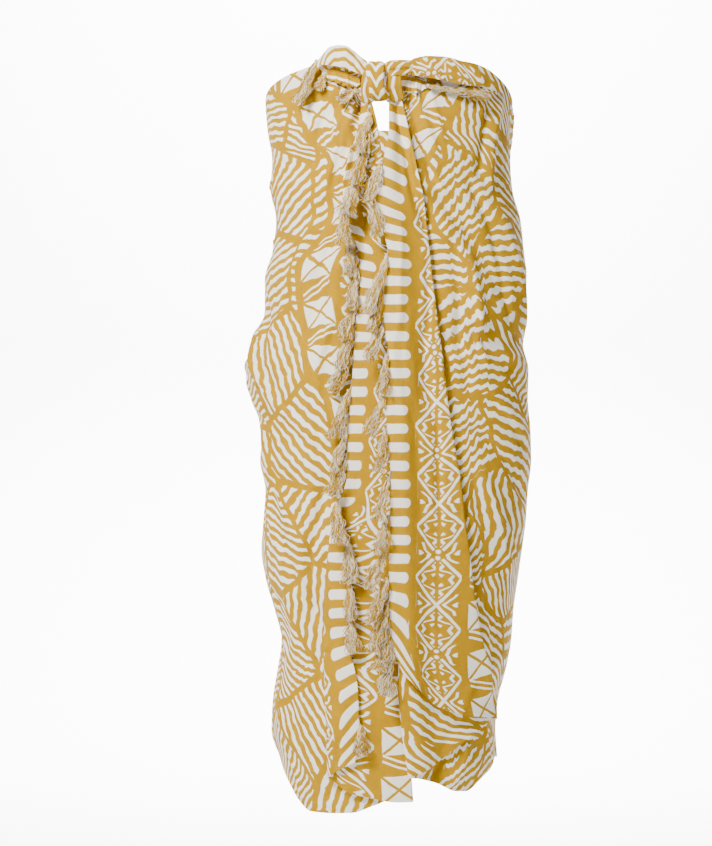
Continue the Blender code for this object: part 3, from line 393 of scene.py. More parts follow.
# The knotted tassels of the two ends: the height of the bead on the fringed
# edge, where the tassel's tip hangs, and its length.
Tassel = namedtuple("Tassel", "z tip_x length")
RIGHT_TASSELS = table(
    Tassel,
    (-0.098, -0.026, 0.062),
    (-0.152, -0.013, 0.056),
    (-0.237, -0.028, 0.09),
    (-0.285, -0.022, 0.066),
    (-0.337, -0.026, 0.06),
    (-0.385, -0.008, 0.062),
    (-0.448, -0.024, 0.062),
    (-0.498, -0.012, 0.064),
    (-0.57, -0.01, 0.066),
    (-0.626, -0.008, 0.06),
    (-0.676, -0.026, 0.066),
    (-0.718, -0.022, 0.076),
    (-0.757, -0.02, 0.078),
    (-0.79, -0.014, 0.07),
    (-0.828, -0.006, 0.07),
)
LEFT_TASSELS = table(
    Tassel,
    (-0.022, -0.039, 0.062),
    (-0.068, -0.048, 0.062),
    (-0.112, -0.057, 0.064),
    (-0.16, -0.058, 0.06),
    (-0.208, -0.056, 0.06),
    (-0.256, -0.06, 0.062),
    (-0.304, -0.064, 0.062),
    (-0.346, -0.072, 0.064),
    (-0.388, -0.083, 0.06),
    (-0.437, -0.076, 0.076),
    (-0.492, -0.078, 0.07),
    (-0.538, -0.078, 0.06),
    (-0.606, -0.064, 0.066),
    (-0.662, -0.052, 0.066),
    (-0.718, -0.05, 0.066),
    (-0.772, -0.044, 0.062),
    (-0.94, -0.036, 0.048),
)
# Those that hang from the tied ends: bead and tip, both in the front view.
FreeTassel = namedtuple("FreeTassel", "name x z out tip_x tip_z spread")
FREE_TASSELS = table(
    FreeTassel,
    ("wing_tassel", -0.1027, 0.057, 0.013, -0.129, -0.006, 0.009),
    ("knot_tassel", -0.0404, 0.015, 0.0137, -0.0725, -0.002, 0.005),
    ("left_ruffle_tassel", -0.0935, 0.038, 0.0077, -0.101, 0.012, 0.005),
    ("right_ruffle_tassel", 0.0587, 0.0215, 0.0056, 0.144, 0.003, 0.0035),
)
# The radius of a tassel's bead, the steps of its middle line, how far its
# threads spread, and how far it leans out for each metre of its length.
BEAD = 0.0030
STRAND_STEPS = 3
STRAND_SPREAD = 0.0085
TASSEL_TILT = 0.12
# How far the threads rise off the edge as they leave the bead, and how far
# the bead hangs off the edge.
ROOT_RISE = 0.0030
BEAD_GAP = 0.00055
# How far threads stay off the cloth, and off a tassel that they hang over.
CLOTH_CLEARANCE = 0.0036
TASSEL_CLEARANCE = 0.0062
# How near another tassel counts as below this one: in spreads across, and as
# a share of the tassel's length down.
NEAR_ACROSS = 2.2
NEAR_DOWN = 0.25

# How finely the visible cloth is drawn.
YOKE_ROWS = 8
MAIN_ROWS = 216
PANEL_COLUMNS = 74
BACK_COLUMNS = 104
TURN_STEPS = 9
LEFT_STRIP_STEPS = 12
RIGHT_STRIP_STEPS = 26
MIDDLE_STEPS = 16

# Small creases: short drags at the knot and under the collar,
# crumples at the sides, and the same kind round the back.
CREASES = table(
    Fold,
    (-13, 0.015, -27, -0.06, 0.0032, 0.002),
    (-17, 0.01, -35, -0.045, 0.003, -0.0018),
    (-19, 0.03, -44, -0.005, 0.004, 0.002),
    (-28, 0.0, -40, -0.1, 0.0045, -0.0016),
    (-24, -0.11, -33, -0.26, 0.0045, 0.0022),
    (-31, -0.12, -40, -0.23, 0.005, -0.0018),
    (-26, -0.33, -31, -0.52, 0.0045, 0.0018),
    (-38, -0.25, -58, -0.33, 0.006, 0.0016),
    (-62, -0.08, -88, -0.135, 0.006, 0.0018),
    (-70, -0.13, -90, -0.16, 0.005, -0.002),
    (-66, -0.19, -88, -0.215, 0.0055, 0.0016),
    (-86, -0.33, -60, -0.4, 0.006, 0.002),
    (-88, -0.375, -58, -0.445, 0.0055, -0.002),
    (-87, -0.42, -62, -0.52, 0.0055, 0.0018),
    (-80, -0.6, -60, -0.68, 0.006, 0.0016),
    (-86, -0.7, -70, -0.76, 0.006, -0.0018),
    (-78, -0.8, -64, -0.85, 0.006, 0.0018),
    (-56, -0.9, -44, -0.99, 0.0055, -0.0016),
    (-66, -0.96, -58, -1.05, 0.006, 0.002),
    (17, 0.02, 26, -0.06, 0.0036, 0.0018),
    (22, 0.03, 40, 0.0, 0.0036, -0.002),
    (30, 0.012, 46, -0.012, 0.0032, 0.0018),
    (36, 0.02, 50, -0.03, 0.0034, -0.0018),
    (44, 0.0, 58, -0.06, 0.0036, 0.0018),
    (50, -0.02, 66, -0.1, 0.0045, -0.0016),
    (20, -0.1, 30, -0.19, 0.004, 0.0016),
    (30, -0.08, 50, -0.13, 0.0045, 0.0016),
    (62, -0.11, 84, -0.14, 0.0055, 0.002),
    (66, -0.15, 88, -0.2, 0.0055, -0.002),
    (60, -0.22, 82, -0.26, 0.006, 0.0018),
    (40, -0.21, 60, -0.24, 0.006, -0.0016),
    (30, -0.3, 50, -0.37, 0.006, 0.0016),
    (58, -0.4, 82, -0.44, 0.0065, 0.0018),
    (46, -0.45, 74, -0.54, 0.006, -0.0018),
    (52, -0.62, 74, -0.69, 0.0065, 0.0016),
    (56, -0.75, 70, -0.83, 0.006, -0.0016),
    (44, -0.87, 34, -0.98, 0.0055, 0.0018),
    (64, -0.9, 72, -0.99, 0.006, 0.0018),
    (2.5, 0.01, 11, -0.2, 0.004, -0.0034),
    (4.5, 0.015, 15, -0.15, 0.0038, 0.0026),
    (7, 0.018, 19, -0.12, 0.004, -0.003),
    (10, 0.02, 22, -0.08, 0.0036, 0.0022),
    (12.5, -0.24, 17, -0.62, 0.005, -0.0026),
    (-12, 0.015, -17, -0.11, 0.004, -0.003),
    (-14, 0.016, -22, -0.15, 0.004, 0.0026),
    (-17, 0.018, -28, -0.13, 0.0042, -0.0026),
    (-14, -0.16, -19, -0.36, 0.0045, -0.0026),
    (24, -0.2, 34, -0.44, 0.0085, -0.003),
    (33, -0.23, 44, -0.4, 0.008, 0.003),
    (40, -0.12, 62, -0.33, 0.009, -0.0028),
    (-30, -0.2, -44, -0.42, 0.009, -0.003),
    (-44, -0.18, -64, -0.36, 0.0085, 0.0028),
    (-30, -0.56, -42, -0.78, 0.009, -0.0028),
    (28, -0.56, 46, -0.76, 0.009, 0.0028),
    (1, -0.18, 2, -0.42, 0.0028, 0.001),
    (4, -0.3, 7, -0.56, 0.0032, -0.001),
    (9, -0.38, 12, -0.7, 0.0036, 0.0012),
    (16, -0.52, 20, -0.8, 0.0045, -0.0014),
    (100, -0.02, 112, -0.11, 0.005, 0.002),
    (118, -0.01, 133, -0.14, 0.005, -0.002),
    (140, -0.03, 146, -0.2, 0.0055, 0.002),
    (166, -0.02, 158, -0.13, 0.005, -0.0018),
    (-172, -0.03, -160, -0.16, 0.0055, 0.002),
    (-144, -0.02, -136, -0.12, 0.005, -0.002),
    (-116, -0.02, -108, -0.15, 0.005, 0.0018),
    (96, -0.25, 130, -0.31, 0.0065, 0.002),
    (100, -0.33, 142, -0.42, 0.0065, -0.002),
    (-96, -0.3, -138, -0.38, 0.0065, 0.002),
    (-98, -0.42, -132, -0.52, 0.006, -0.002),
    (112, -0.48, 128, -0.64, 0.006, 0.0018),
    (150, -0.42, 166, -0.52, 0.0065, -0.0018),
    (-156, -0.36, -174, -0.47, 0.006, 0.0018),
    (124, -0.76, 134, -0.94, 0.006, -0.0018),
    (170, -0.7, 163, -0.88, 0.006, 0.002),
    (-168, -0.82, -160, -0.99, 0.006, -0.002),
    (-130, -0.76, -122, -0.93, 0.006, 0.0018),
)

# How far the bars run askew on each end: they drop by this much for each
# metre away from the fringed edge.
Skew = namedtuple("Skew", "z left right")
SKEWS = table(
    Skew,
    (0.06, 0.3, 0.05),
    (-0.03, 0.3, 0.15),
    (-0.07, 0.3, 0.3),
    (-0.11, 0.3, 0.4),
    (-0.165, 0.3, 0.4),
    (-0.2, 0.28, 0.28),
    (-0.255, 0.22, 0.06),
    (-0.3, 0.12, 0.0),
    (-0.4, 0.0, 0.0),
    (-0.7, 0.0, 0.02),
    (-0.755, 0.08, 0.32),
    (-0.775, 0.1, 0.52),
    (-0.8, 0.22, 0.82),
    (-0.825, 0.38, 1.15),
    (-0.88, 0.58, 1.35),
    (-0.93, 1.1, 1.35),
    (-1.08, 1.2, 1.35),
)

# The bars are placed by height, from this height down, and end this far in.
BARS_TOP = 0.0660
SKEW_REACH = 0.0475
SKEW_FADE = 0.0070
# Past the bars, the print of the right end starts this much further down.
RIGHT_START = 0.611

# How much nearer to the fringed edge the print lies than on flat cloth, where
# the ends are gathered, from the bars outwards.
Gather = namedtuple("Gather", "z left right")
GATHERS = table(
    Gather,
    (0.05, 0.0, 0.0),
    (-0.2, 0.0, 0.0),
    (-0.265, 0.03, 0.0),
    (-0.38, 0.028, 0.004),
    (-0.46, 0.0, 0.01),
    (-0.62, 0.0, 0.016),
    (-0.76, 0.026, 0.018),
    (-1.0, 0.022, 0.018),
    (-1.08, 0.004, 0.018),
)
# The bars of the left end look shorter: its cloth is gathered across them.
BarShift = namedtuple("BarShift", "e print")
LEFT_BARS = table(
    BarShift,
    (0.0, 0.0),
    (0.03, 0.042),
    (0.066, 0.086),
    (0.115, 0.118),
    (0.15, 0.15),
    (2.0, 2.0),
)
# Past the bars, that gathering sets in from here, over this length.
GATHER_FROM = 0.045
GATHER_REACH = 0.100

# The print, by the distance from a fringed edge. First its bars, and how
# much longer one is than another.
BAR_PITCH = 0.0266
BAR_LENGTH = 0.0430
BAR_HALF = 0.0071
BAR_UNEVEN = 0.004
# A chain of diamonds: its band, the line round them, and how far that line
# stops short where every other two meet.
LATTICE = (0.0560, 0.1150)
LATTICE_PITCH = 0.0740
LATTICE_LINE = 0.0019
LATTICE_SLANT = 0.78
LATTICE_OPENING = 0.0085
# The stepped lines nested in a diamond: where they lie in from its line, how
# far apart, and their steps. They leave the middle of the band free.
NEST_FROM = 0.0056
NEST_TO = 0.0215
NEST_PITCH = 0.0150
NEST_HALF = 0.0024
NEST_SPLIT = 0.0022
STEP_LONG = 0.0078
STEP_DEEP = 0.0118
# Zigzags and spots outside the diamonds, and twin dots where they meet.
CORNER_AT = 0.0125
CORNER_HALF = 0.0021
CORNER_REACH = 0.0150
CORNER_LONG = 0.0110
CORNER_DEEP = 0.0050
SPOT_AT = 0.0215
SPOT_RADIUS = 0.0034
TWIN_APART = 0.0046
TWIN_RADIUS = 0.0030
# Crossed squares, each with two slanting lines below it.
SQUARES = (0.1230, 0.1800)
SQUARE_PITCH = 0.0730
SQUARE_HALF = (0.0250, 0.0205)
SQUARE_START = 0.020
SQUARE_GAP = 0.004
SQUARE_EDGE = 0.05
CROSS_HALF = 0.13
TAIL_AT = 0.0145
TAIL_SLANT = 0.42
TAIL_APART = 0.0044
TAIL_HALF = 0.0017
TAIL_REACH = 0.0235
# Patches of wavy stripes: how squat a patch is, how its outline bends, the
# plain border round it, and a stripe's half width as a share of the pitch.
PATCH_SIZE = 0.105
PATCH_SQUAT = 0.80
PATCH_BEND_SIZE = 0.080
PATCH_BEND = 0.014
PATCH_BORDER = 0.0040
STRIPE_PITCH = 0.0132
STRIPE_HALF = 0.228
STRIPE_UNEVEN = 0.0034
STRIPE_JAG = 0.0018
STRIPE_SWAY = 0.0036
STRIPE_BOW = 0.014
# The stripes of the tied ends, wide and narrow, and the knot's chevrons.
END_PITCH = 0.0155
END_WIDE = 0.0046
END_NARROW = 0.0022
CHEVRON_PITCH = 0.0225
CHEVRON_HALF = 0.0042
CHEVRON_START = 0.0040
CHEVRON_LONG = 0.0210
CHEVRON_DEEP = 0.0215
# How soft the edges of printed marks are.
SHARP = 0.001
CRISP = 0.0009

# The weave, the stitched hem, and how far each stands up in the bump map.
WARP_PITCH = 0.00085
WEFT_PITCH = 0.00090
WEAVE_HEIGHT = 0.00004
CRUMPLE_HEIGHT = 0.0012
HEM_LINE = 0.0060
HEM_EDGE = 0.0062
HEM_HEIGHT = 0.0004
STITCH_PITCH = 0.0048
STITCH_HEIGHT = 0.0005
DYE = (0.470, 0.250, 0.0)
DYE_DEEP = (0.350, 0.172, 0.0)
GROUND = (0.950, 0.885, 0.745)
PALE_THREAD = (0.80, 0.69, 0.47)
GOLD_THREAD = (0.50, 0.27, 0.010)
# How dark the painted shade in a thread's twist gets, as a share of its colour.
THREAD_PAINTED_SHADE = 0.45

# How many times their listed height the small creases stand out.
CREASE_STRENGTH = 1.8

curves = {}


def curve(table, by, name):
    """A column of a table as a smooth function of another one."""
    key = (id(table), name)
    if key in curves:
        return curves[key]
    xs = np.array([getattr(row, by) for row in table], float)
    ys = np.array([getattr(row, name) for row in table], float)
    if xs[0] > xs[-1]:
        xs, ys = xs[::-1], ys[::-1]
    slopes = np.diff(ys) / np.diff(xs)
    tangents = np.zeros(len(xs))
    tangents[0], tangents[-1] = slopes[0], slopes[-1]
    product = slopes[:-1] * slopes[1:]
    total = np.where(product > 0, slopes[:-1] + slopes[1:], 1.0)
    tangents[1:-1] = np.where(product > 0, 2 * product / total, 0.0)

    def read(at):
        at = np.clip(np.asarray(at, float), xs[0], xs[-1])
        i = np.clip(np.searchsorted(xs, at) - 1, 0, len(xs) - 2)
        width = xs[i + 1] - xs[i]
        t = (at - xs[i]) / width
        return (
            ys[i] * (1 + 2 * t) * (1 - t) ** 2
            + ys[i + 1] * t * t * (3 - 2 * t)
            + width * tangents[i] * t * (1 - t) ** 2
            - width * tangents[i + 1] * t * t * (1 - t)
        )

    curves[key] = read
    return read


def step(value):
    """0 below 0, 1 above 1, smooth between."""
    value = np.clip(value, 0.0, 1.0)
    return value * value * (3 - 2 * value)


def powered(value, power):
    return np.sign(value) * np.abs(value) ** power


def relief(around, z, folds):
    """How far folds lift the cloth off the plain tube."""
    total = np.zeros(np.broadcast(around, z).shape)
    for fold in folds:
        share = (z - fold.z0) / (fold.z1 - fold.z0)
        strength = step(share / FOLD_FADE + 0.5) * step((1 - share) / FOLD_FADE + 0.5)
        middle = fold.around0 + (fold.around1 - fold.around0) * share
        off = (around - middle + 180) % 360 - 180
        off = np.radians(off) * GIRTH_RADIUS / fold.width
        total = total + fold.height * strength * np.exp(-off * off)
    return total


def tube_point(around, z):
    """The plain worn tube at an angle and height, in plan: x and y."""
    left, right = curve(SECTIONS, "z", "left")(z), curve(SECTIONS, "z", "right")(z)
    front, back = curve(SECTIONS, "z", "front")(z), curve(SECTIONS, "z", "back")(z)
    angle = np.radians(around)
    x = (left + right) / 2 + (right - left) / 2 * powered(np.sin(angle), SQUARE_X)
    depth = powered(np.cos(angle), SQUARE_Y)
    return x, -depth * np.where(depth > 0, front, back)


def tube_frame(around, z):
    """Point and direction along the girth of the plain tube."""
    x0, y0 = tube_point(around - 1, z)
    x1, y1 = tube_point(around + 1, z)
    length = np.hypot(x1 - x0, y1 - y0)
    x, y = tube_point(around, z)
    return x, y, (x1 - x0) / length, (y1 - y0) / length


def placed(around, z, out=0.0, shift=0.0):
    """A point of the cloth: out along the tube's normal, shifted along its girth."""
    x, y, along_x, along_y = tube_frame(around, z)
    rise = relief(around, z, FRONT_FOLDS + BACK_FOLDS) + out
    rise = rise + CREASE_STRENGTH * relief(around, z, CREASES)
    x = x + along_y * rise + along_x * shift
    y = y - along_x * rise + along_y * shift
    return np.stack((x, y, z + np.zeros_like(x)), axis=-1)


def around_of(x, z):
    """The angle at which the front of the tube is seen at x."""
    left, right = curve(SECTIONS, "z", "left")(z), curve(SECTIONS, "z", "right")(z)
    share = (x - (left + right) / 2) / ((right - left) / 2)
    most = math.sin(math.radians(MOST_AROUND))
    share = np.clip(powered(share, 1 / SQUARE_X), -most, most)
    return np.degrees(np.arcsin(share))


def layer(z):
    return curve(SPACINGS, "z", "layer")(z)


def lift(x, z):
    """How far the right end stands out, to pass over the left end."""
    end = curve(LEFT_END, "z", "inner")(z) + OVERLAP_FLAT + OVERLAP_RAMP
    return (2 * layer(z) + OVERLAP_RISE) * step((end - x) / OVERLAP_RAMP)


def seen(points):
    """Brings sizes read off the front view to the depth at which they lie."""
    points = np.array(points, float)
    share = (VIEW_DISTANCE + points[..., 1]) / VIEW_DISTANCE
    points[..., 0] = VIEW_X + (points[..., 0] - VIEW_X) * share
    points[..., 2] = VIEW_Z + (points[..., 2] - VIEW_Z) * share
    return points


def edge_height(name, around):
    return curve(EDGES, "around", name)((around + 180) % 360 - 180)


def panel_grid(first, last, columns, raised=False):
    """The worn tube between two angles: rows from the top edge to the hem."""
    across = np.linspace(0, 1, columns)[None, :]
    yoke_share = np.linspace(0, 1, YOKE_ROWS, endpoint=False)[:, None]
    main_share = np.linspace(0, 1, MAIN_ROWS)[:, None]
    z = np.zeros((YOKE_ROWS + MAIN_ROWS, columns))
    for _ in range(2 * SETTLING_STEPS):
        start, end = first(z), last(z)
        around = start + (end - start) * across
        top, hem = edge_height("top", around), edge_height("hem", around)
        upper = top[:YOKE_ROWS] - YOKE * yoke_share
        lower = top[YOKE_ROWS:] - YOKE
        lower = lower + (hem[YOKE_ROWS:] - lower) * main_share
        z = np.vstack((upper, lower))
    out = lift(tube_point(around, z)[0], z) if raised else 0.0
    return placed(around, z, out)


def left_seam(z):
    return around_of(curve(LEFT_END, "z", "inner")(z) - LEFT_SEAM, z)


def right_seam(z):
    return around_of(curve(RIGHT_END, "z", "inner")(z) + RIGHT_SEAM, z)


def fixed(angle):
    return lambda z: np.full(np.shape(z), float(angle))


def left_end_path(z):
    """The folded left end: a list of (x, depth, along) from its fringed edge."""
    row = {name: curve(LEFT_END, "z", name)(z) for name in ("inner", "outer", "turn", "strip")}
    gap = layer(z)
    turn = np.radians(np.maximum(row["turn"], LEAST_TURN))
    radius = math.pi * gap / 2 / turn
    curl = []
    for k in range(LEFT_STRIP_STEPS):
        straight = row["strip"] * (1 - k / LEFT_STRIP_STEPS)
        x = -radius * np.sin(turn) - straight * np.cos(turn)
        depth = radius * (1 - np.cos(turn)) + straight * np.sin(turn)
        curl.append((x, gap + depth, STRIP_ALONG * k / LEFT_STRIP_STEPS))
    for share in np.linspace(1, 0, TURN_STEPS):
        x = -radius * np.sin(turn * share)
        depth = radius * (1 - np.cos(turn * share))
        curl.append((x, gap + depth, 1.0 + TURN_ALONG * (0.5 - share)))
    reach = np.min([x for x, _, _ in curl], axis=0)
    path = [(x - reach + row["outer"], depth, along) for x, depth, along in curl]
    start = row["outer"] - reach
    end = row["inner"] - gap / 2
    for share in np.linspace(0, 1, MIDDLE_STEPS)[1:]:
        along = MIDDLE_ALONG[0] + (MIDDLE_ALONG[1] - MIDDLE_ALONG[0]) * share
        path.append((start + (end - start) * share, gap, along))
    for angle in np.linspace(0, math.pi, TURN_STEPS)[1:]:
        depth = gap / 2 * (1 + math.cos(angle))
        path.append((end + gap / 2 * math.sin(angle), depth, 2.0))
    for share in (0.5, 1.0):
        x = end + (row["inner"] - LEFT_SEAM - end) * share
        path.append((x, gap * 0.0, 2.5 + 0.5 * (2 * share - 1)))
    return path


def right_end_path(z):
    """The folded right end: a list of (x, depth, along) from its fringed edge."""
    row = {name: curve(RIGHT_END, "z", name)(z) for name in ("edge", "outer", "inner", "groove")}
    gap = layer(z)
    radius = gap / 2
    start, end = row["edge"], row["outer"] - radius
    path = []
    for share in np.linspace(0, 1, RIGHT_STRIP_STEPS):
        puff = row["groove"] * (1 - math.exp(-(((share - GROOVE_AT) / GROOVE_WIDTH) ** 2)))
        puff = puff * (1 - share ** 4)
        path.append((start + (end - start) * share, 2 * gap + puff, STRIP_ALONG * share))
    for angle in np.linspace(0, math.pi, TURN_STEPS)[1:]:
        path.append((end + radius * math.sin(angle), gap + radius * (1 + math.cos(angle)), 1.0))
    back = row["inner"] + radius
    for share in np.linspace(0, 1, MIDDLE_STEPS)[1:]:
        along = MIDDLE_ALONG[0] + (MIDDLE_ALONG[1] - MIDDLE_ALONG[0]) * share
        path.append((end + (back - end) * share, gap, along))
    for angle in np.linspace(0, math.pi, TURN_STEPS)[1:]:
        path.append((back - radius * math.sin(angle), radius * (1 + math.cos(angle)), 2.0))
    for share in (0.5, 1.0):
        x = back + (row["inner"] + RIGHT_SEAM - back) * share
        path.append((x, gap * 0.0, 2.5 + 0.5 * (2 * share - 1)))
    return path


def end_point(x, depth, z, raised=False):
    """A point of a folded end, from its place in the front view."""
    around = around_of(x, z)
    reach, _, along_x, _ = tube_frame(around, z)
    shift = (x - reach) / np.maximum(along_x, LEAST_FACING)
    out = depth + (lift(x, z) if raised else 0.0)
    return placed(around, z, out, shift)


def end_grid(path, hem_table, seam_heights, raised):
    """A folded end as a grid: each column keeps its place along the path."""
    alongs = [along for _, _, along in path(np.zeros(1))]
    top, seam_hem = seam_heights[0], seam_heights[-1]
    share = (seam_heights - top) / (seam_hem - top)
    columns = []
    for j, along in enumerate(alongs):
        hem = curve(hem_table, "along", "z")(along)
        z = seam_heights if along == 3 else top + (hem - top) * share
        x, depth, _ = path(z)[j]
        columns.append(end_point(x, depth, z, raised))
    return np.stack(columns, axis=1)


def add_mesh(name, points, faces, uvs, materials, face_materials=None):
    """A smooth mesh with named UV maps, each given by point."""
    mesh = bpy.data.meshes.new(name)
    points = np.asarray(points, float).reshape(-1, 3)
    faces = np.asarray(faces)
    mesh.from_pydata(points.tolist(), [], faces.tolist())
    corners = np.zeros(len(mesh.loops), np.int32)
    mesh.loops.foreach_get("vertex_index", corners)
    for uv_name, uv in uvs.items():
        made = mesh.uv_layers.new(name=uv_name)
        made.data.foreach_set("uv", np.asarray(uv, float)[corners].astype(np.float32).ravel())
    for each in materials:
        mesh.materials.append(each)
    if face_materials is not None:
        mesh.polygons.foreach_set("material_index", np.asarray(face_materials, np.int32))
    mesh.shade_smooth()
    made = bpy.data.objects.new(name, mesh)
    bpy.context.scene.collection.objects.link(made)
    return made


def grid_faces(rows, columns, first=0):
    """Quads of a grid of points."""
    index = first + np.arange(rows * columns).reshape(rows, columns)
    quads = (index[:-1, :-1], index[:-1, 1:], index[1:, 1:], index[1:, :-1])
    return np.stack(quads, axis=-1).reshape(-1, 4)


def lengths(points, axis):
    """Distance run along a grid, from its first row or column."""
    steps = np.linalg.norm(np.diff(points, axis=axis), axis=2)
    zero = np.zeros_like(np.take(steps, [0], axis=axis))
    return np.cumsum(np.concatenate((zero, steps), axis=axis), axis=axis)


class Number:
    """A number worked out by a material's nodes."""

    def __init__(self, tree, socket):
        self.tree = tree
        self.socket = socket

    def math(self, operation, *others, clamp=False):
        node = self.tree.nodes.new("ShaderNodeMath")
        node.operation = operation
        node.use_clamp = clamp
        for slot, value in zip(node.inputs, (self,) + others):
            if isinstance(value, Number):
                self.tree.links.new(value.socket, slot)
            else:
                slot.default_value = value
        return Number(self.tree, node.outputs[0])

    def __add__(self, other):
        return self.math("ADD", other)

    def __sub__(self, other):
        return self.math("SUBTRACT", other)

    def __mul__(self, other):
        return self.math("MULTIPLY", other)

    def __truediv__(self, other):
        return self.math("DIVIDE", other)

    def less(self, other):
        return self.math("LESS_THAN", other)

    def least(self, other):
        return self.math("MINIMUM", other)

    def most(self, other):
        return self.math("MAXIMUM", other)

    def size(self):
        return self.math("ABSOLUTE")

    def floor(self):
        return self.math("FLOOR")

    def part(self):
        return self.math("FRACT")

    def sine(self):
        return self.math("SINE")

    def opposite(self):
        """1 less this."""
        return (self * -1.0) + 1.0

    def soft(self, width):
        """1 where this is above 0, with a soft edge of this width."""
        return (self / width + 0.5).math("MULTIPLY", 1.0, clamp=True)

    def below(self, limit, edge):
        """1 where this is below a limit, with a soft edge of this width."""
        return (self * -1.0 + limit).soft(edge)

    def within(self, width, edge):
        """1 where this is nearer to 0 than a width, with a soft edge."""
        return self.size().below(width, edge)

    def centred(self, pitch):
        """Distance to the nearest multiple of a pitch."""
        return ((self / pitch + 0.5).part() - 0.5) * pitch


def away(x, y):
    """The distance that two numbers make at right angles."""
    return (x * x + y * y).math("SQRT")


def uv_numbers(tree, name):
    node = tree.nodes.new("ShaderNodeUVMap")
    node.uv_map = name
    split = tree.nodes.new("ShaderNodeSeparateXYZ")
    tree.links.new(node.outputs[0], split.inputs[0])
    return Number(tree, split.outputs[0]), Number(tree, split.outputs[1])


def vector(tree, x, y, z=0.0):
    node = tree.nodes.new("ShaderNodeCombineXYZ")
    for slot, value in zip(node.inputs, (x, y, z)):
        if isinstance(value, Number):
            tree.links.new(value.socket, slot)
        else:
            slot.default_value = value
    return node.outputs[0]


def noise(tree, x, y, size, detail=2.0, z=0.0):
    """Soft noise about 0, with features of a size."""
    node = tree.nodes.new("ShaderNodeTexNoise")
    node.inputs["Scale"].default_value = 1.0 / size
    node.inputs["Detail"].default_value = detail
    tree.links.new(vector(tree, x, y, z), node.inputs["Vector"])
    return Number(tree, node.outputs[0]) - 0.5


def chance(tree, value, seed):
    """A random number from 0 to 1 for each whole value."""
    node = tree.nodes.new("ShaderNodeTexWhiteNoise")
    node.noise_dimensions = "2D"
    tree.links.new(vector(tree, value, seed), node.inputs["Vector"])
    return Number(tree, node.outputs["Value"])


def voronoi(tree, x, y, size, feature):
    node = tree.nodes.new("ShaderNodeTexVoronoi")
    node.voronoi_dimensions = "2D"
    node.feature = feature
    node.inputs["Scale"].default_value = 1.0 / size
    node.inputs["Randomness"].default_value = 0.9
    tree.links.new(vector(tree, x, y), node.inputs["Vector"])
    return node


def lattice_print(e, t):
    """White of a chain of diamonds with stepped lines nested in them."""
    middle = e - (LATTICE[0] + LATTICE[1]) / 2
    half = (LATTICE[1] - LATTICE[0]) / 2
    turns = t / LATTICE_PITCH
    zig = (turns.math("PINGPONG", 1.0) * (2.0 * half) - half).size()
    inward = zig - middle.size()
    gap = (turns.part() - 0.5).size() * LATTICE_PITCH
    closed = turns.floor().math("FLOORED_MODULO", 2.0).opposite()
    outline = (inward.size() * -LATTICE_SLANT + LATTICE_LINE).soft(SHARP)
    outline = outline * (away(gap, middle) - closed * LATTICE_OPENING).soft(SHARP)
    steps = ((gap * -1.0 + LATTICE_PITCH / 2) / STEP_LONG).math("PINGPONG", 1.0) * STEP_DEEP
    nested = (inward + steps - NEST_PITCH).centred(NEST_PITCH).within(NEST_HALF, 0.0016)
    nested = nested * (inward - NEST_FROM).soft(SHARP) * inward.below(NEST_TO, SHARP)
    nested = nested * (middle.size() - NEST_SPLIT).soft(SHARP)
    outward = inward * -1.0
    zigzag = (t / CORNER_LONG).math("PINGPONG", 1.0) * CORNER_DEEP
    corner = (outward + zigzag - CORNER_AT).within(CORNER_HALF, SHARP)
    corner = corner * gap.below(CORNER_REACH, 0.002)
    spots = away(outward - SPOT_AT, gap).below(SPOT_RADIUS, SHARP)
    twins = away(gap - TWIN_APART, middle).below(TWIN_RADIUS, SHARP) * closed
    marks = (outline + nested + corner + spots + twins).math("MINIMUM", 1.0)
    return marks * middle.within(half, SHARP)


def square_print(e, t):
    """White of crossed squares, with two slanting lines between them."""
    across = e - (SQUARES[0] + SQUARES[1]) / 2
    down = ((t + SQUARE_START) / SQUARE_PITCH).part() * SQUARE_PITCH - SQUARE_HALF[1] - SQUARE_GAP
    wide, tall = across / SQUARE_HALF[0], down / SQUARE_HALF[1]
    box = wide.size().most(tall.size()).below(1.0, SQUARE_EDGE)
    cross = ((wide.size() - tall.size()).size() - CROSS_HALF).soft(SQUARE_EDGE)
    tail = down - SQUARE_HALF[1] - TAIL_AT - across * TAIL_SLANT
    lines = (tail.size() - TAIL_APART).within(TAIL_HALF, 0.0008)
    return box * cross + lines * across.within(TAIL_REACH, SHARP)


def band_print(tree, e, t):
    """White of the bars, the diamonds and the squares, by the edge."""
    wobble_e = noise(tree, e, t, 0.012) * 0.0018
    wobble_t = noise(tree, e, t, 0.016, z=3.0) * 0.0022
    e, t = e + wobble_e, t + wobble_t
    number = (t / BAR_PITCH + 0.5).floor()
    reach = chance(tree, number, 1.0) * BAR_UNEVEN + (BAR_LENGTH - BAR_HALF - BAR_UNEVEN / 2)
    bars = away((e - reach).most(0.0), t.centred(BAR_PITCH)).below(BAR_HALF, 0.0012)
    return (bars + lattice_print(e, t) + square_print(e, t)).math("MINIMUM", 1.0)


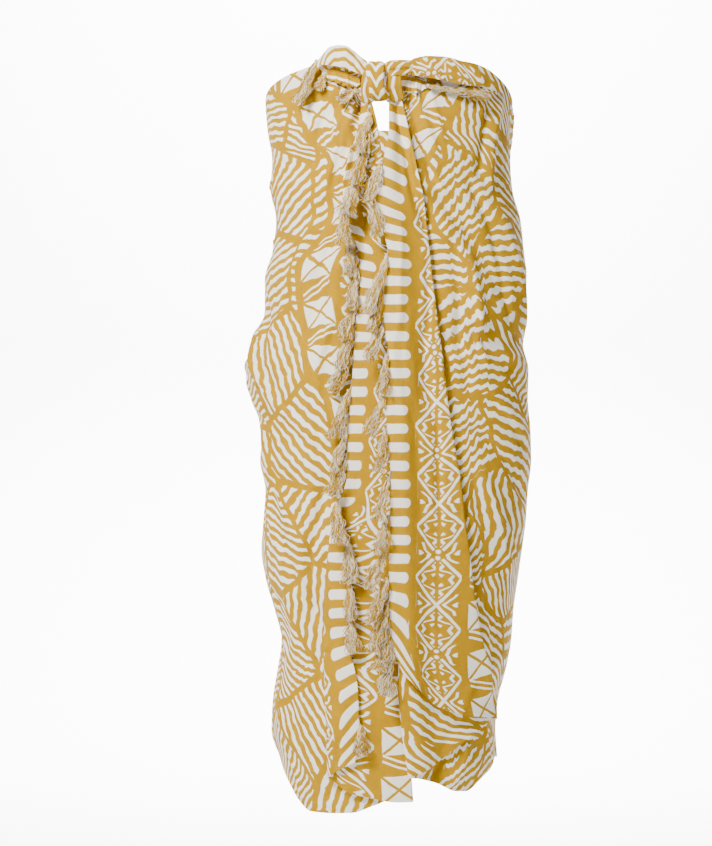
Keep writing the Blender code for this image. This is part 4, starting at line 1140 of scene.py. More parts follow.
def field_print(tree, g, t):
    """White of the patches of wavy stripes that fill the cloth."""
    bend_g = g + noise(tree, g, t, PATCH_BEND_SIZE) * PATCH_BEND
    bend_t = t + noise(tree, g, t, PATCH_BEND_SIZE, z=7.0) * PATCH_BEND
    cell = voronoi(tree, bend_g, bend_t * PATCH_SQUAT, PATCH_SIZE, "F1")
    border = voronoi(tree, bend_g, bend_t * PATCH_SQUAT, PATCH_SIZE, "DISTANCE_TO_EDGE")
    split = tree.nodes.new("ShaderNodeSeparateColor")
    tree.links.new(cell.outputs["Color"], split.inputs[0])
    kind = Number(tree, split.outputs[1])
    turn = Number(tree, split.outputs[0]) * 6.9 + kind * 2.3
    along = g * turn.sine() + t * (turn + math.pi / 2).sine()
    across = g * (turn + math.pi / 2).sine() - t * turn.sine()
    jag = ((along / (kind * 0.008 + 0.009)).math("PINGPONG", 1.0) - 0.5) * STRIPE_JAG
    sway = noise(tree, along, across, 0.011, 1.0) * STRIPE_SWAY
    bow = noise(tree, along, across, 0.110, 0.0, z=11.0) * STRIPE_BOW
    across = (across + jag + sway + bow) * (kind * 0.36 + 0.82)
    width = noise(tree, along, across, 0.020, 1.0, z=5.0) * STRIPE_UNEVEN
    width = width + STRIPE_PITCH * STRIPE_HALF
    stripes = (width - across.centred(STRIPE_PITCH).size()).soft(SHARP)
    edge = (Number(tree, border.outputs["Distance"]) * PATCH_SIZE - PATCH_BORDER).soft(CRISP)
    return stripes * edge


def stripe_print(tree, g, t, half):
    """White of long stripes that run along a tied end."""
    across = g + noise(tree, g, t, 0.020) * 0.004
    return across.centred(END_PITCH).within(half, SHARP)


def chevron_print(tree, e, t):
    """White of wide nested chevrons that point down the middle of the roll."""
    zig = ((e + CHEVRON_START) / CHEVRON_LONG).math("PINGPONG", 1.0) * CHEVRON_DEEP
    across = t - zig + noise(tree, e, t, 0.012) * 0.0020
    return across.centred(CHEVRON_PITCH).within(CHEVRON_HALF, CRISP)


def new_material(name):
    """A material, with its node tree and its shader."""
    made = bpy.data.materials.new(name)
    made.use_nodes = True
    return made, made.node_tree, made.node_tree.nodes["Principled BSDF"]


def set_sockets(node, values):
    for name, value in values.items():
        node.inputs[name].default_value = value


def mixed(tree, share, low, high):
    """A colour between two, of which each is a colour or a node's socket."""
    node = tree.nodes.new("ShaderNodeMix")
    node.data_type = "RGBA"
    tree.links.new(share.socket, node.inputs[0])
    for slot, value in ((node.inputs[6], low), (node.inputs[7], high)):
        if isinstance(value, tuple):
            slot.default_value = (*value, 1.0)
        else:
            tree.links.new(value, slot)
    return node.outputs[2]


def cloth_material(name, print_kind):
    """Thin printed plain weave: dye over an off-white ground."""
    made, tree, shader = new_material(name)
    e, down = uv_numbers(tree, "edge")
    g, t = uv_numbers(tree, "field")
    if print_kind == "stripes":
        white = stripe_print(tree, g, t, END_WIDE)
    elif print_kind == "lines":
        white = stripe_print(tree, g, t, END_NARROW)
    elif print_kind == "chevrons":
        white = chevron_print(tree, g, t)
    else:
        limit = noise(tree, e, down, 0.03) * 0.004 + SQUARES[1] + 0.004
        near = e.less(limit)
        field = field_print(tree, g, t) * near.opposite()
        field = field * (e - limit - 0.004).soft(SHARP)
        white = band_print(tree, e, down) * near + field
    cloudy = noise(tree, g, t, 0.030, 4.0, z=2.0)
    worn = noise(tree, g, t, 0.0035, 3.0, z=9.0)
    speck = noise(tree, g, t, 0.0009, 1.0, z=4.0)
    white = (white * (worn * 0.10 + 0.985) + speck * 0.05).math("MULTIPLY", 1.0, clamp=True)
    depth = (cloudy * 0.9 + worn * 0.8 + 0.68).math("MULTIPLY", 1.0, clamp=True)
    printed = mixed(tree, white, mixed(tree, depth, DYE_DEEP, DYE), GROUND)
    tree.links.new(printed, shader.inputs["Base Color"])

    from_hem, from_top = uv_numbers(tree, "hem")
    rim = from_hem.least(from_top)
    seam = (rim - HEM_LINE).within(0.0011, 0.0006)
    stitch = (rim - HEM_LINE).within(0.0007, 0.0004)
    stitch = stitch * g.centred(STITCH_PITCH).within(0.0015, 0.0005)
    warp = (g * (2 * math.pi / WARP_PITCH)).sine()
    weft = (t * (2 * math.pi / WEFT_PITCH)).sine()
    crumple = noise(tree, g, t, 0.012, 3.0, z=6.0) + noise(tree, g, t, 0.045, 1.0, z=8.0) * 2.4
    hem_fold = rim.below(HEM_EDGE, SHARP) * HEM_HEIGHT
    height = warp * weft * WEAVE_HEIGHT + crumple * CRUMPLE_HEIGHT + hem_fold
    height = height - seam * HEM_HEIGHT + stitch * STITCH_HEIGHT
    bump = tree.nodes.new("ShaderNodeBump")
    set_sockets(bump, {"Strength": 0.55, "Distance": 1.0})
    tree.links.new(height.socket, bump.inputs["Height"])
    tree.links.new(bump.outputs[0], shader.inputs["Normal"])
    set_sockets(shader, {
        "Roughness": 0.82,
        "Specular IOR Level": 0.12,
        "Specular Tint": (1.0, 0.86, 0.50, 1.0),
        "Sheen Weight": 0.04,
        "Sheen Roughness": 0.5,
        "Sheen Tint": (1.0, 0.80, 0.40, 1.0),
    })
    return made


def thread_material(name, colour):
    """Spun thread, slightly uneven in colour, with painted shade in the grooves of its twist."""
    made, tree, shader = new_material(name)
    u, v = uv_numbers(tree, "field")
    # The bands along a thread are painted shade in its twist; the noise is random unevenness of its
    # colour.
    twist = ((u * 2.0 + v * 2600.0).sine() * 0.18 + noise(tree, u, v, 0.01) * 0.5) * 0.5
    painted_twist_shade_and_tone = (twist + 0.92).math("MULTIPLY", 1.0, clamp=True)
    mix = mixed(tree, painted_twist_shade_and_tone, tuple(c * THREAD_PAINTED_SHADE for c in colour), colour)
    tree.links.new(mix, shader.inputs["Base Color"])
    set_sockets(shader, {"Roughness": 0.9, "Specular IOR Level": 0.2})
    return made


def build_cloth(cloth):
    """The whole sheet, from one fringed edge round the body to the other."""
    left = panel_grid(fixed(-90), left_seam, PANEL_COLUMNS)
    right = panel_grid(right_seam, fixed(90), PANEL_COLUMNS, raised=True)
    back = panel_grid(fixed(90), fixed(270), BACK_COLUMNS)
    left_end = end_grid(left_end_path, LEFT_END_HEM, left[YOKE_ROWS:, -1, 2], False)
    right_end = end_grid(right_end_path, RIGHT_END_HEM, right[YOKE_ROWS:, 0, 2], True)
    panels = np.concatenate(
        (left[:, ::-1], back[:, ::-1][:, 1:], right[:, ::-1][:, 1:]), axis=1
    )
    middle = panels.shape[1]
    rows = YOKE_ROWS + MAIN_ROWS
    first, last = left_end.shape[1] - 1, right_end.shape[1] - 1
    grid = np.zeros((rows, first + middle + last, 3))
    grid[:, first:first + middle] = panels
    grid[YOKE_ROWS:, :first] = left_end[:, :-1]
    grid[YOKE_ROWS:, first + middle:] = right_end[:, ::-1][:, 1:]
    grid[:YOKE_ROWS, :first] = grid[:YOKE_ROWS, first:first + 1]
    grid[:YOKE_ROWS, first + middle:] = grid[:YOKE_ROWS, first + middle - 1:first + middle]
    used = np.ones((rows - 1, grid.shape[1] - 1), bool)
    used[:YOKE_ROWS, :first] = False
    used[:YOKE_ROWS, first + middle - 1:] = False

    grid = seen(grid)
    run = lengths(grid, 1)
    for i in range(YOKE_ROWS):
        run[i] += run[YOKE_ROWS, first] - run[i, first]
    whole = run[:, -1:] * np.ones_like(run)
    whole[:YOKE_ROWS] = run[:YOKE_ROWS, first + middle - 1:first + middle]
    whole[:YOKE_ROWS] += run[YOKE_ROWS, -1] - run[YOKE_ROWS, first + middle - 1]
    from_left, from_right = run, whole - run
    drop = lengths(grid, 0)
    drop[:, :first] += YOKE
    drop[:, first + middle:] += YOKE
    z = grid[..., 2]
    skew_left, skew_right = curve(SKEWS, "z", "left")(z), curve(SKEWS, "z", "right")(z)
    gather_left, gather_right = curve(GATHERS, "z", "left")(z), curve(GATHERS, "z", "right")(z)
    print_left = curve(LEFT_BARS, "e", "print")(from_left)
    print_left = print_left - gather_left * step((from_left - GATHER_FROM) / GATHER_REACH)
    print_right = from_right - gather_right * step((from_right - GATHER_FROM) / GATHER_REACH)
    nearer_left = from_left < from_right
    e = np.where(nearer_left, print_left, print_right)
    past_left = step((print_left - SKEW_REACH) / SKEW_FADE)
    past_right = step((print_right - SKEW_REACH) / SKEW_FADE)
    bars_left = BARS_TOP - z - skew_left * from_left
    bars_right = BARS_TOP - z - skew_right * from_right
    down_left = bars_left + (drop - bars_left) * past_left
    down_right = bars_right + (drop + RIGHT_START - bars_right) * past_right
    down = np.where(nearer_left, down_left, down_right)
    keep = grid_faces(rows, grid.shape[1])[used.ravel()]
    uvs = {
        "edge": np.stack((e, down), axis=-1).reshape(-1, 2),
        "field": np.stack((from_left, drop), axis=-1).reshape(-1, 2),
        "hem": np.stack((drop[-1:] - drop, drop), axis=-1).reshape(-1, 2),
    }
    made = add_mesh("sarong_cloth", grid, keep, uvs, [cloth])
    loose = set(range(rows * grid.shape[1])) - set(keep.ravel().tolist())
    remove_points(made, loose)
    return made, left_end, right_end


def remove_points(made, loose):
    """Takes away the points of a mesh that no face uses."""
    shape = bmesh.new()
    shape.from_mesh(made.data)
    shape.verts.ensure_lookup_table()
    bmesh.ops.delete(shape, geom=[shape.verts[i] for i in loose], context="VERTS")
    shape.to_mesh(made.data)
    shape.free()


# How finely the tied ends and rolls are drawn.
LEAF_COLUMNS = 60
LEAF_BACK_STEPS = 14
LEAF_TURN_STEPS = 9
LEAF_FRONT_STEPS = 26
RUFFLE_LONG = 90
RUFFLE_DEEP = 12
ROLL_RINGS = 44
ROLL_TIP_RINGS = 5
ROLL_TIP = 0.005
ROLL_AROUND = 64
# The finer waves of a ruffle: how many and how deep, across and at its edge.
RIPPLES = 8.3
RIPPLE_DEPTH = 0.35
EDGE_WAVES = 5.2
EDGE_DEPTH = 0.0012

# How each roll of the knot looks: the direction of its width, its print, its
# pleats and their depth, how much wider it is to either side and longer at
# either end than its solid, so that no gap is left, and the slant of its print.
RollLook = namedtuple("RollLook", "node table side print pleats depth fuller longer twist")

# Creases across a leaf: where each crosses its length, how far it slants,
# its width and height, all but the height as shares of the leaf.
LeafCrease = namedtuple("LeafCrease", "at slant width height")
WING_CREASES = table(
    LeafCrease,
    (0.12, 0.2, 0.045, 0.0016),
    (0.24, -0.1, 0.04, -0.0014),
    (0.4, 0.25, 0.06, 0.0012),
    (0.62, -0.15, 0.05, -0.0012),
    (0.8, 0.12, 0.04, 0.001),
)
COLLAR_CREASES = table(
    LeafCrease,
    (0.06, 0.1, 0.03, 0.0018),
    (0.13, -0.16, 0.028, -0.0018),
    (0.22, 0.3, 0.04, 0.0016),
    (0.35, 0.22, 0.035, -0.0014),
    (0.5, -0.2, 0.05, 0.0014),
    (0.64, 0.24, 0.04, -0.0014),
    (0.78, 0.15, 0.045, 0.0014),
    (0.9, -0.1, 0.03, -0.0012),
)
X, Z = (1, 0, 0), (0, 0, 1)
LOOKS = (
    RollLook("knot_loop", KNOT_LOOP, X, "chevrons", 5, 0.16, (0.0030, 0.0044), (0, 0), 0),
    RollLook("knot_band", KNOT_BAND, Z, "lines", 4, 0.20, (0.0030, 0.0010), (0.004, 0.008), 0.9),
    RollLook("knot_left_root", KNOT_LEFT_ROOT, X, "lines", 4, 0.24, (0.002, 0.007), (0.005, 0.008), 0),
    RollLook("knot_right_root", KNOT_RIGHT_ROOT, X, "lines", 4, 0.24, (0.006, 0.011), (0.006, 0.004), 0),
)


def even_rows(table, count, names):
    """Columns of a table at even steps along its first one."""
    xs = np.linspace(table[0].x, table[-1].x, count)
    return xs, [curve(table, "x", name)(xs) for name in names]


def build_leaf(name, table, creases, cloth, turned, print_from=0.0):
    """Doubled cloth folded over along its top, open below."""
    names = ("top", "bottom", "back", "belly", "half_gap", "stand")
    xs, (top, bottom, back, belly, gap, stand) = even_rows(table, LEAF_COLUMNS, names)
    outs, heights = [], []
    for share in np.linspace(0, 1, LEAF_BACK_STEPS, endpoint=False):
        outs.append(-gap)
        heights.append(back + (top - gap - back) * share)
    for angle in np.linspace(math.pi, 0, LEAF_TURN_STEPS):
        outs.append(gap * math.cos(angle))
        heights.append(top - gap + gap * math.sin(angle))
    for share in np.linspace(0, 1, LEAF_FRONT_STEPS + 1)[1:]:
        outs.append(gap + belly * math.sin(math.pi * share))
        heights.append(top - gap - (top - gap - bottom) * share)
    outs, heights = np.array(outs), np.array(heights)
    across = np.linspace(0, 1, LEAF_COLUMNS)[None, :]
    deep = np.linspace(-0.5, 0.5, len(outs))[:, None]
    for crease in creases:
        off = (across - crease.at - crease.slant * deep) / crease.width
        outs = outs + crease.height * np.exp(-off * off)
    points = seen(end_point(xs[None, :] + 0 * outs, stand + outs, heights))
    run, drop = lengths(points, 1), lengths(points, 0)
    field = np.stack((drop, run) if turned else (run, drop), axis=-1).reshape(-1, 2)
    edge = np.stack((drop + print_from, run), axis=-1).reshape(-1, 2)
    clear = np.full_like(field, 1.0)
    uvs = {"edge": edge, "field": field, "hem": clear}
    faces = grid_faces(len(outs), LEAF_COLUMNS)
    return add_mesh(name, points, faces, uvs, [cloth])


def build_ruffle(name, table, cloth, phase):
    """A frayed strip with uneven waves."""
    xs, (top, bottom, stand) = even_rows(table, RUFFLE_LONG, ("top", "bottom", "stand"))
    share = np.linspace(0, 1, RUFFLE_DEEP)[:, None]
    along = np.linspace(0, 1, RUFFLE_LONG)[None, :]
    depth = RUFFLE_DEPTH * (RUFFLE_ROOT + (1 - RUFFLE_ROOT) * share)
    wave = np.sin(2 * math.pi * RUFFLE_WAVES * along + share)
    wave = wave + RIPPLE_DEPTH * np.sin(2 * math.pi * RIPPLES * along + phase + 2 * share)
    out = stand + depth * wave
    edge_wave = EDGE_DEPTH * np.sin(2 * math.pi * EDGE_WAVES * along + phase) * share
    z = top + (bottom - top) * share + edge_wave
    points = seen(end_point(xs[None, :] + 0 * out, out, z))
    run, drop = lengths(points, 1), lengths(points, 0)
    field = np.stack((drop + 0.004, run), axis=-1).reshape(-1, 2)
    uvs = {"edge": field, "field": field, "hem": np.full_like(field, 1.0)}
    return add_mesh(name, points, grid_faces(RUFFLE_DEEP, RUFFLE_LONG), uvs, [cloth])


def smooth_line(line, count):
    """A line of points drawn finer, through the same points."""
    at = np.linspace(0, len(line) - 1, count)
    whole = np.clip(at.astype(int), 0, len(line) - 2)
    share = (at - whole)[:, None]
    tangents = np.gradient(line, axis=0)
    a, b, ta, tb = line[whole], line[whole + 1], tangents[whole], tangents[whole + 1]
    return (
        a * (1 + 2 * share) * (1 - share) ** 2
        + b * share ** 2 * (3 - 2 * share)
        + ta * share * (1 - share) ** 2
        - tb * share ** 2 * (1 - share)
    )


def build_roll(look, cloth):
    """A gathered roll of cloth with uneven pleats along it."""
    rows = np.array([(row.x, KNOT_PLANE - row.out, row.z) for row in look.table])
    sizes = np.array([(row.half_width, row.half_depth) for row in look.table])
    rows = rows + np.array(look.side) * (look.fuller[1] - look.fuller[0]) / 2
    sizes[:, 0] += sum(look.fuller) / 2
    for end, next_to, reach in ((0, 1, look.longer[0]), (-1, -2, look.longer[1])):
        off = rows[end] - rows[next_to]
        rows[end] = rows[end] + off / np.linalg.norm(off) * reach
    middle, sizes = seen(smooth_line(rows, ROLL_RINGS)), smooth_line(sizes, ROLL_RINGS)
    heading = np.gradient(middle, axis=0)
    heading /= np.linalg.norm(heading, axis=1, keepdims=True)
    side = np.array(look.side, float)
    across = side - heading * heading.dot(side)[:, None]
    across /= np.linalg.norm(across, axis=1, keepdims=True)
    up = np.cross(heading, across)
    angle = np.linspace(0, 2 * math.pi, ROLL_AROUND + 1)[None, :]
    length = np.linspace(0, 1, ROLL_RINGS)[:, None]
    pleat = np.cos(look.pleats * angle + 1 + 0.9 * np.sin(3 * length))
    pleat = pleat + 0.5 * np.cos((look.pleats + 3) * angle + 2.2 - 1.1 * length)
    reach = 1 - look.depth + look.depth * pleat / 1.5
    points = middle[:, None] + across[:, None] * (sizes[:, :1] * np.cos(angle) * reach)[..., None]
    points = points + up[:, None] * (sizes[:, 1:] * np.sin(angle) * reach)[..., None]
    turn = np.linspace(0, math.pi / 2, ROLL_TIP_RINGS + 1)[1:, None, None]

    def tip(ring, centre, away):
        shrunk = (ring - centre) * np.maximum(np.cos(turn), 0.02)
        return centre + shrunk + away * np.sin(turn) * ROLL_TIP

    points = np.concatenate((
        tip(points[0], middle[0], -heading[0])[::-1],
        points,
        tip(points[-1], middle[-1], heading[-1]),
    ))
    run, drop = lengths(points, 1), lengths(points, 0)
    run[:ROLL_TIP_RINGS] = run[ROLL_TIP_RINGS]
    run[-ROLL_TIP_RINGS:] = run[-ROLL_TIP_RINGS - 1]
    field = np.stack((run + look.twist * drop, drop), axis=-1).reshape(-1, 2)
    uvs = {"edge": field, "field": field, "hem": np.full_like(field, 1.0)}
    faces = grid_faces(points.shape[0], ROLL_AROUND + 1)
    return add_mesh(look.node + "_cloth", points, faces, uvs, [cloth])


def cover(x, z):
    """How far the outermost cloth of the front stands out at one place."""
    most = 0.0
    for path, raised in ((left_end_path, False), (right_end_path, True)):
        points = path(np.array([z]))
        rise = float(lift(x, z)) if raised else 0.0
        for (x0, out0, _), (x1, out1, _) in zip(points, points[1:]):
            low, high = min(float(x0[0]), float(x1[0])), max(float(x0[0]), float(x1[0]))
            if low - BEAD <= x <= high + BEAD:
                most = max(most, float(out0[0]) + rise, float(out1[0]) + rise)
    return most + HALF_CLOTH


def front_place(point):
    """A point of the front as (x, out, z), the inverse of end_point."""
    x, out, z = point[0], 0.0, point[2]
    for _ in range(SETTLING_STEPS):
        made = end_point(x, out, z)
        x += point[0] - made[0]
        out += made[1] - point[1]
    return np.array((x, out, z))


def tassel_line(bead, tip, spread, hung):
    """The middle line of a tassel, clear of the cloth and of what hangs there."""
    length = math.hypot(tip[0] - bead[0], tip[2] - bead[2])
    line = []
    for i in range(STRAND_STEPS + 1):
        share = i / STRAND_STEPS
        x, _, z = bead + (tip - bead) * share
        out = bead[1] + TASSEL_TILT * length * share
        if i == 0:
            out += ROOT_RISE
            z -= ROOT_RISE
        else:
            near = max(cover(x + side * spread, z) for side in (-1, 0, 1))
            out = max(out, near + CLOTH_CLEARANCE)
            for other_x, other_out, other_z in hung:
                near_across = abs(x - other_x) < NEAR_ACROSS * spread
                if near_across and abs(z - other_z) < NEAR_DOWN * length:
                    out = max(out, other_out + TASSEL_CLEARANCE)
        line.append(np.array((x, out, z)))
    for one, two in zip(line, line[1:]):
        hung.extend(one + (two - one) * share for share in (0, 0.33, 0.67))
    hung.append(line[-1])
    return np.array(line)


# The fringe as threads: how many in a tassel, in how many clumps, how many
# lengths each is drawn in, how thick a thread is.
THREADS = 92
CLUMPS = 10
THREAD_STEPS = 14
THREAD_RADIUS = 0.00046
THREAD_SIDES = 3
# How far threads stand apart at the bead, swing with their clump and curl.
THREAD_ROOT = 0.0018
THREAD_SWING = 0.0040
THREAD_CURL = 0.0022
# The share of threads that are loose, how much further they fan and curl.
LOOSE_SHARE = 0.32
LOOSE_FAN = 1.35
LOOSE_CURL = 0.0046
# How flat a tassel lies, and how likely its threads are pale: at least, and
# how much more in the palest clump.
TASSEL_FLATNESS = 0.32
PALE_LEAST = 0.22
PALE_MORE = 0.45
# The turns of thread round a bead, how far apart they lie, and their sizes.
BEAD_TURNS = 7
BEAD_TURN_PITCH = 0.0007
BEAD_TURN_TILT = 0.0009
BEAD_TURN_RADIUS = 0.0026
BEAD_THREAD = 0.00095
# The threads gathered along the edge to either side of a bead, how far along
# it they start, their sag and their radius.
GATHERED = 5
GATHER_SPAN = 0.013
GATHER_SAG = (0, -0.0016, -0.0012)
GATHER_THREAD = 0.00038


def add_threads(made, lines, colours, radius):
    """Three-sided threads along lines of points."""
    for line, colour in zip(lines, colours):
        count = len(line)
        heading = np.gradient(line, axis=0)
        heading /= np.maximum(np.linalg.norm(heading, axis=1, keepdims=True), 1e-9)
        side = np.cross(heading, (0.31, 0.94, 0.11))
        side /= np.maximum(np.linalg.norm(side, axis=1, keepdims=True), 1e-9)
        up = np.cross(heading, side)
        ring = []
        for k in range(THREAD_SIDES):
            angle = 2 * math.pi * k / THREAD_SIDES
            ring.append(line + (side * math.cos(angle) + up * math.sin(angle)) * radius)
        made["points"].append(np.stack(ring, axis=1).reshape(-1, 3))
        run = np.repeat(np.linspace(0, 0.06, count), THREAD_SIDES)
        made["uvs"].append(np.stack((np.tile([0.0, 0.001, 0.002], count), run), axis=-1))
        for i in range(count - 1):
            for k in range(THREAD_SIDES):
                a = made["count"] + THREAD_SIDES * i + k
                b = made["count"] + THREAD_SIDES * i + (k + 1) % THREAD_SIDES
                made["faces"].append((a, b, b + THREAD_SIDES, a + THREAD_SIDES))
                made["kinds"].append(colour)
        made["count"] += THREAD_SIDES * count


def empty_threads():
    """The points, faces and colours of threads that become one mesh."""
    return {"points": [], "faces": [], "uvs": [], "kinds": [], "count": 0}


def finish_threads(name, made, materials):
    points, uvs = np.concatenate(made["points"]), np.concatenate(made["uvs"])
    return add_mesh(name, points, made["faces"], {"field": uvs}, materials, made["kinds"])


def build_tassel(made, bead, tip, spread, hung, random):
    """The clumped, wavy threads that hang from a knot."""
    bead, tip = np.array(bead, float), np.array(tip, float)
    line = tassel_line(bead, tip, spread, hung)
    middle = smooth_line(line, THREAD_STEPS)
    down = np.array((tip[0] - bead[0], 0.0, tip[2] - bead[2]))
    down /= np.linalg.norm(down)
    aside = np.array((-down[2], 0.0, down[0]))
    share = np.linspace(0, 1, THREAD_STEPS)[:, None]
    clump_turn = random.uniform(0, 2 * math.pi, CLUMPS)
    clump_far = np.sqrt(random.uniform(0.05, 1.0, CLUMPS))
    clump_wave = random.uniform(0.6, 1.5, CLUMPS)
    clump_phase = random.uniform(0, 2 * math.pi, CLUMPS)
    clump_pale = random.uniform(0, 1, CLUMPS)
    lines, colours = [], []
    for _ in range(THREADS):
        c = random.integers(CLUMPS)
        turn = clump_turn[c] + random.normal(0, 0.35)
        loose = random.uniform() < LOOSE_SHARE
        far = clump_far[c] * random.uniform(0.75, 1.12) * (LOOSE_FAN if loose else 1.0)
        reach = random.uniform(0.70, 1.06)
        s = share * reach
        fan = THREAD_ROOT * (1 - s) + spread * 1.10 * far * s ** 0.70
        swing = THREAD_SWING * s * np.sin(2 * math.pi * clump_wave[c] * s + clump_phase[c])
        curl = LOOSE_CURL if loose else THREAD_CURL
        curl = curl * s ** 0.5 * np.sin(2 * math.pi * random.uniform(1.5, 3.6) * s + turn)
        at = np.clip(s[:, 0], 0, 1) * (THREAD_STEPS - 1)
        base = np.stack([np.interp(at, np.arange(THREAD_STEPS), middle[:, a]) for a in range(3)], 1)
        base = base + aside * (fan * math.cos(turn) + swing + curl)
        out = fan * math.sin(turn) * TASSEL_FLATNESS + curl * 0.5
        base[:, 1] += out[:, 0]
        base[:, 2] += 0.002
        lines.append(seen(end_point(base[:, 0], base[:, 1], base[:, 2])))
        colours.append(0 if random.uniform() < PALE_LEAST + PALE_MORE * clump_pale[c] else 1)
    add_threads(made, lines, colours, THREAD_RADIUS)


def build_bead(made, place, down, random):
    """A tight overhand knot of the threads, wrapped round itself."""
    centre = np.array(place, float)
    lines, colours = [], []
    turns = np.linspace(0, 2 * math.pi, 13)[:, None]
    aside = np.array((-down[2], 0.0, down[0]))
    outward = np.array((0.0, 1.0, 0.0))
    for k in range(BEAD_TURNS):
        tilt = random.uniform(-0.9, 0.9)
        place = k - (BEAD_TURNS - 1) / 2
        size = BEAD_TURN_RADIUS * math.sqrt(max(0.15, 1 - (place / 4.2) ** 2))
        ring = centre + down * place * BEAD_TURN_PITCH + aside * np.cos(turns) * size
        ring = ring + outward * np.sin(turns) * size
        ring = ring + down * np.cos(turns + tilt) * BEAD_TURN_TILT
        lines.append(seen(end_point(ring[:, 0], ring[:, 1], ring[:, 2])))
        colours.append(0 if random.uniform() < 0.75 else 1)
    add_threads(made, lines, colours, BEAD_THREAD)


def edge_bead(grid, z):
    """Where a bead sits, just off a fringed edge."""
    def at(j, height):
        return np.array([np.interp(-height, -grid[:, j, 2], grid[:, j, a]) for a in range(3)])

    edge = at(0, z)
    along = at(0, z + BEAD) - at(0, z - BEAD)
    along /= np.linalg.norm(along)
    off = edge - at(4, z)
    off -= along * off.dot(along)
    off /= np.linalg.norm(off)
    return front_place(edge + off * (BEAD + BEAD_GAP)), at


def build_fringe(name, table, grid, hung, materials, random):
    """Knotted tassels along a fringed edge, hung from the lowest up."""
    made = empty_threads()
    for row in table[::-1]:
        bead, at = edge_bead(grid, row.z)
        fall = math.sqrt(row.length ** 2 - (row.tip_x - bead[0]) ** 2)
        tip = np.array((row.tip_x, bead[1], row.z - fall))
        down = (tip - bead) / np.linalg.norm(tip - bead)
        build_tassel(made, bead, tip, STRAND_SPREAD, hung, random)
        build_bead(made, bead, down, random)
        centre = seen(end_point(*bead))
        lines, colours = [], []
        for side in (-1, 1):
            for k in range(GATHERED):
                reach = GATHER_SPAN * (k + 0.6) / GATHERED
                edge = seen(at(0, row.z + side * reach))
                share = np.linspace(0, 1, 5)[:, None]
                line = edge + (centre - edge) * share
                line = line + np.array(GATHER_SAG) * np.sin(math.pi * share)
                lines.append(line)
                colours.append(int(random.uniform() < 0.35))
        add_threads(made, lines, colours, GATHER_THREAD)
    return finish_threads(name, made, materials)


def tassel_names(side, table):
    return [f"{side}_tassel_{k + 1:02d}" for k in range(len(table))]


def main():
    cloths = {
        "whole": cloth_material("printed_cloth", "whole"),
        "stripes": cloth_material("striped_cloth", "stripes"),
        "lines": cloth_material("lined_cloth", "lines"),
        "chevrons": cloth_material("chevron_cloth", "chevrons"),
    }
    whole, striped, lined = cloths["whole"], cloths["stripes"], cloths["lines"]
    threads = [thread_material("pale_thread", PALE_THREAD), thread_material("gold_thread", GOLD_THREAD)]
    random = np.random.default_rng(7)

    sheet, left_end, right_end = build_cloth(whole)
    wing = build_leaf("left_wing_cloth", LEFT_WING, WING_CREASES, striped, True)
    collar = build_leaf("right_collar_cloth", RIGHT_COLLAR, COLLAR_CREASES, whole, False, 0.030)
    left_ruffle = build_ruffle("left_ruffle_cloth", LEFT_RUFFLE, lined, 0.4)
    right_ruffle = build_ruffle("right_ruffle_cloth", RIGHT_RUFFLE, striped, 2.0)
    pieces = [
        (sheet, "cloth", ("left_front", "right_front", "back", "left_end", "right_end")),
        (wing, "cloth", ("left_wing",)),
        (collar, "cloth", ("right_collar",)),
        (left_ruffle, "cloth", ("left_ruffle",)),
        (right_ruffle, "cloth", ("right_ruffle",)),
    ]
    for look in LOOKS:
        pieces.append((build_roll(look, cloths[look.print]), "cloth", (look.node,)))

    hung = []
    fringe = build_fringe("right_fringe", RIGHT_TASSELS, right_end, hung, threads, random)
    pieces.append((fringe, "fringe", tassel_names("right", RIGHT_TASSELS)))
    fringe = build_fringe("left_fringe", LEFT_TASSELS, left_end, hung, threads, random)
    pieces.append((fringe, "fringe", tassel_names("left", LEFT_TASSELS)))
    made = empty_threads()
    for row in FREE_TASSELS:
        bead = np.array((row.x, row.out, row.z))
        tip = np.array((row.tip_x, row.out, row.tip_z))
        build_tassel(made, bead, tip, row.spread, hung, random)
        build_bead(made, bead, (tip - bead) / np.linalg.norm(tip - bead), random)
    knot_fringe = finish_threads("knot_fringe", made, threads)
    pieces.append((knot_fringe, "fringe", [row.name for row in FREE_TASSELS]))

    for piece, slot, nodes in pieces:
        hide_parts(*nodes)
        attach(piece, "root")
    return sheet, [piece for piece, _, _ in pieces[1:]]


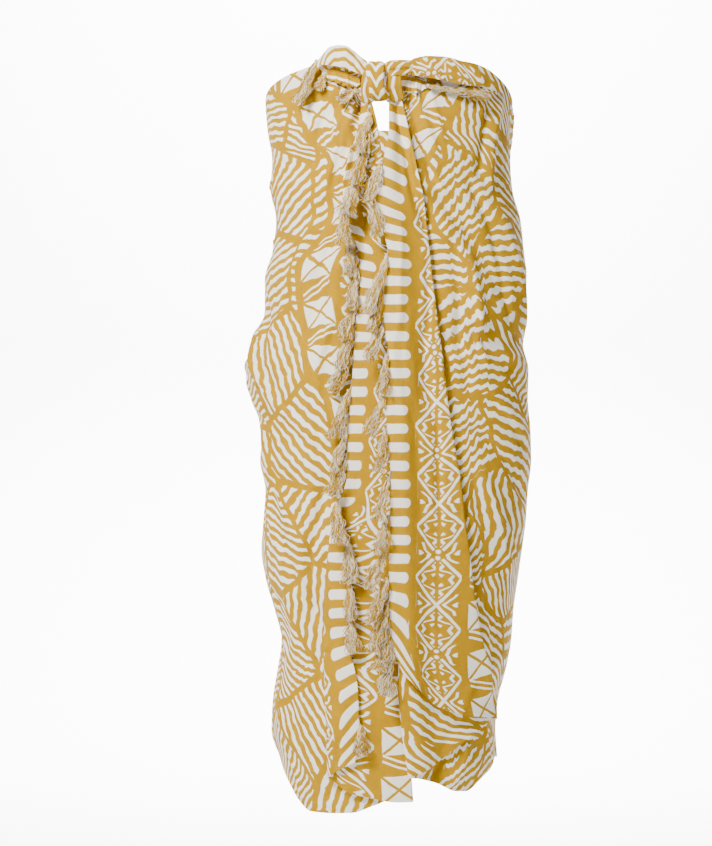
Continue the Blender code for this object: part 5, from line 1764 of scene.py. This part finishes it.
# The stage: a floor that sweeps up into a wall, and its lamps.
FLOOR_Z = -1.45
FLOOR_FRONT = -6.0
FLOOR_BACK = 3.0
FLOOR_HALF = 9.0
SWEEP = 1.2
SWEEP_STEPS = 16
WALL_TOP = 6.0
WORLD_LIGHT = 0.27
MIDDLE = (0.0, 0.0, -0.45)
Lamp = namedtuple("Lamp", "name place size power spread target")
LAMPS = (
    Lamp("key", (-1.20, -2.05, 1.40), 0.7, 192.0, 180, MIDDLE),
    Lamp("fill", (3.0, -3.0, 0.4), 2.6, 8.0, 180, MIDDLE),
    Lamp("rim", (1.2, 2.4, 1.6), 1.8, 12.0, 180, MIDDLE),
    Lamp("wall", (0.0, 1.6, 3.2), 3.0, 1100.0, 96, (0.0, 4.2, -0.6)),
)


def build_stage():
    """A pale sweep of floor and wall, soft light, and the camera."""
    pale, _, shader = new_material("pale_floor")
    set_sockets(shader, {"Base Color": (0.90, 0.90, 0.90, 1.0), "Roughness": 0.95})
    profile = [(FLOOR_FRONT, FLOOR_Z), (FLOOR_BACK, FLOOR_Z)]
    for k in range(1, SWEEP_STEPS + 1):
        angle = math.pi / 2 * k / SWEEP_STEPS
        profile.append(
            (FLOOR_BACK + SWEEP * math.sin(angle), FLOOR_Z + SWEEP - SWEEP * math.cos(angle))
        )
    profile.append((FLOOR_BACK + SWEEP, WALL_TOP))
    points = np.array([[(x, y, z) for x in (-FLOOR_HALF, FLOOR_HALF)] for y, z in profile])
    uv = {"field": np.zeros((points.size // 3, 2))}
    add_mesh("floor", points, grid_faces(len(profile), 2), uv, [pale])

    world = bpy.data.worlds.new("studio")
    bpy.context.scene.world = world
    world.use_nodes = True
    light = world.node_tree.nodes["Background"]
    set_sockets(light, {"Color": (1.0, 1.0, 1.0, 1.0), "Strength": WORLD_LIGHT})
    for row in LAMPS:
        lamp = bpy.data.lights.new(row.name, "AREA")
        lamp.size = row.size
        lamp.energy = row.power
        lamp.spread = math.radians(row.spread)
        made = bpy.data.objects.new(row.name, lamp)
        made.location = row.place
        aim = Vector(row.target) - Vector(row.place)
        made.rotation_euler = aim.to_track_quat("-Z", "Y").to_euler()
        bpy.context.scene.collection.objects.link(made)

    camera = bpy.data.cameras.new("camera")
    camera.sensor_fit = "VERTICAL"
    camera.sensor_height = 24.0
    camera.lens = camera.sensor_height * VIEW_DISTANCE / VIEW_HEIGHT
    eye = bpy.data.objects.new("camera", camera)
    eye.location = (VIEW_X, -VIEW_DISTANCE, VIEW_Z)
    eye.rotation_euler = (math.pi / 2, 0.0, 0.0)
    bpy.context.scene.collection.objects.link(eye)
    bpy.context.scene.camera = eye


sheet, others = main()
build_stage()
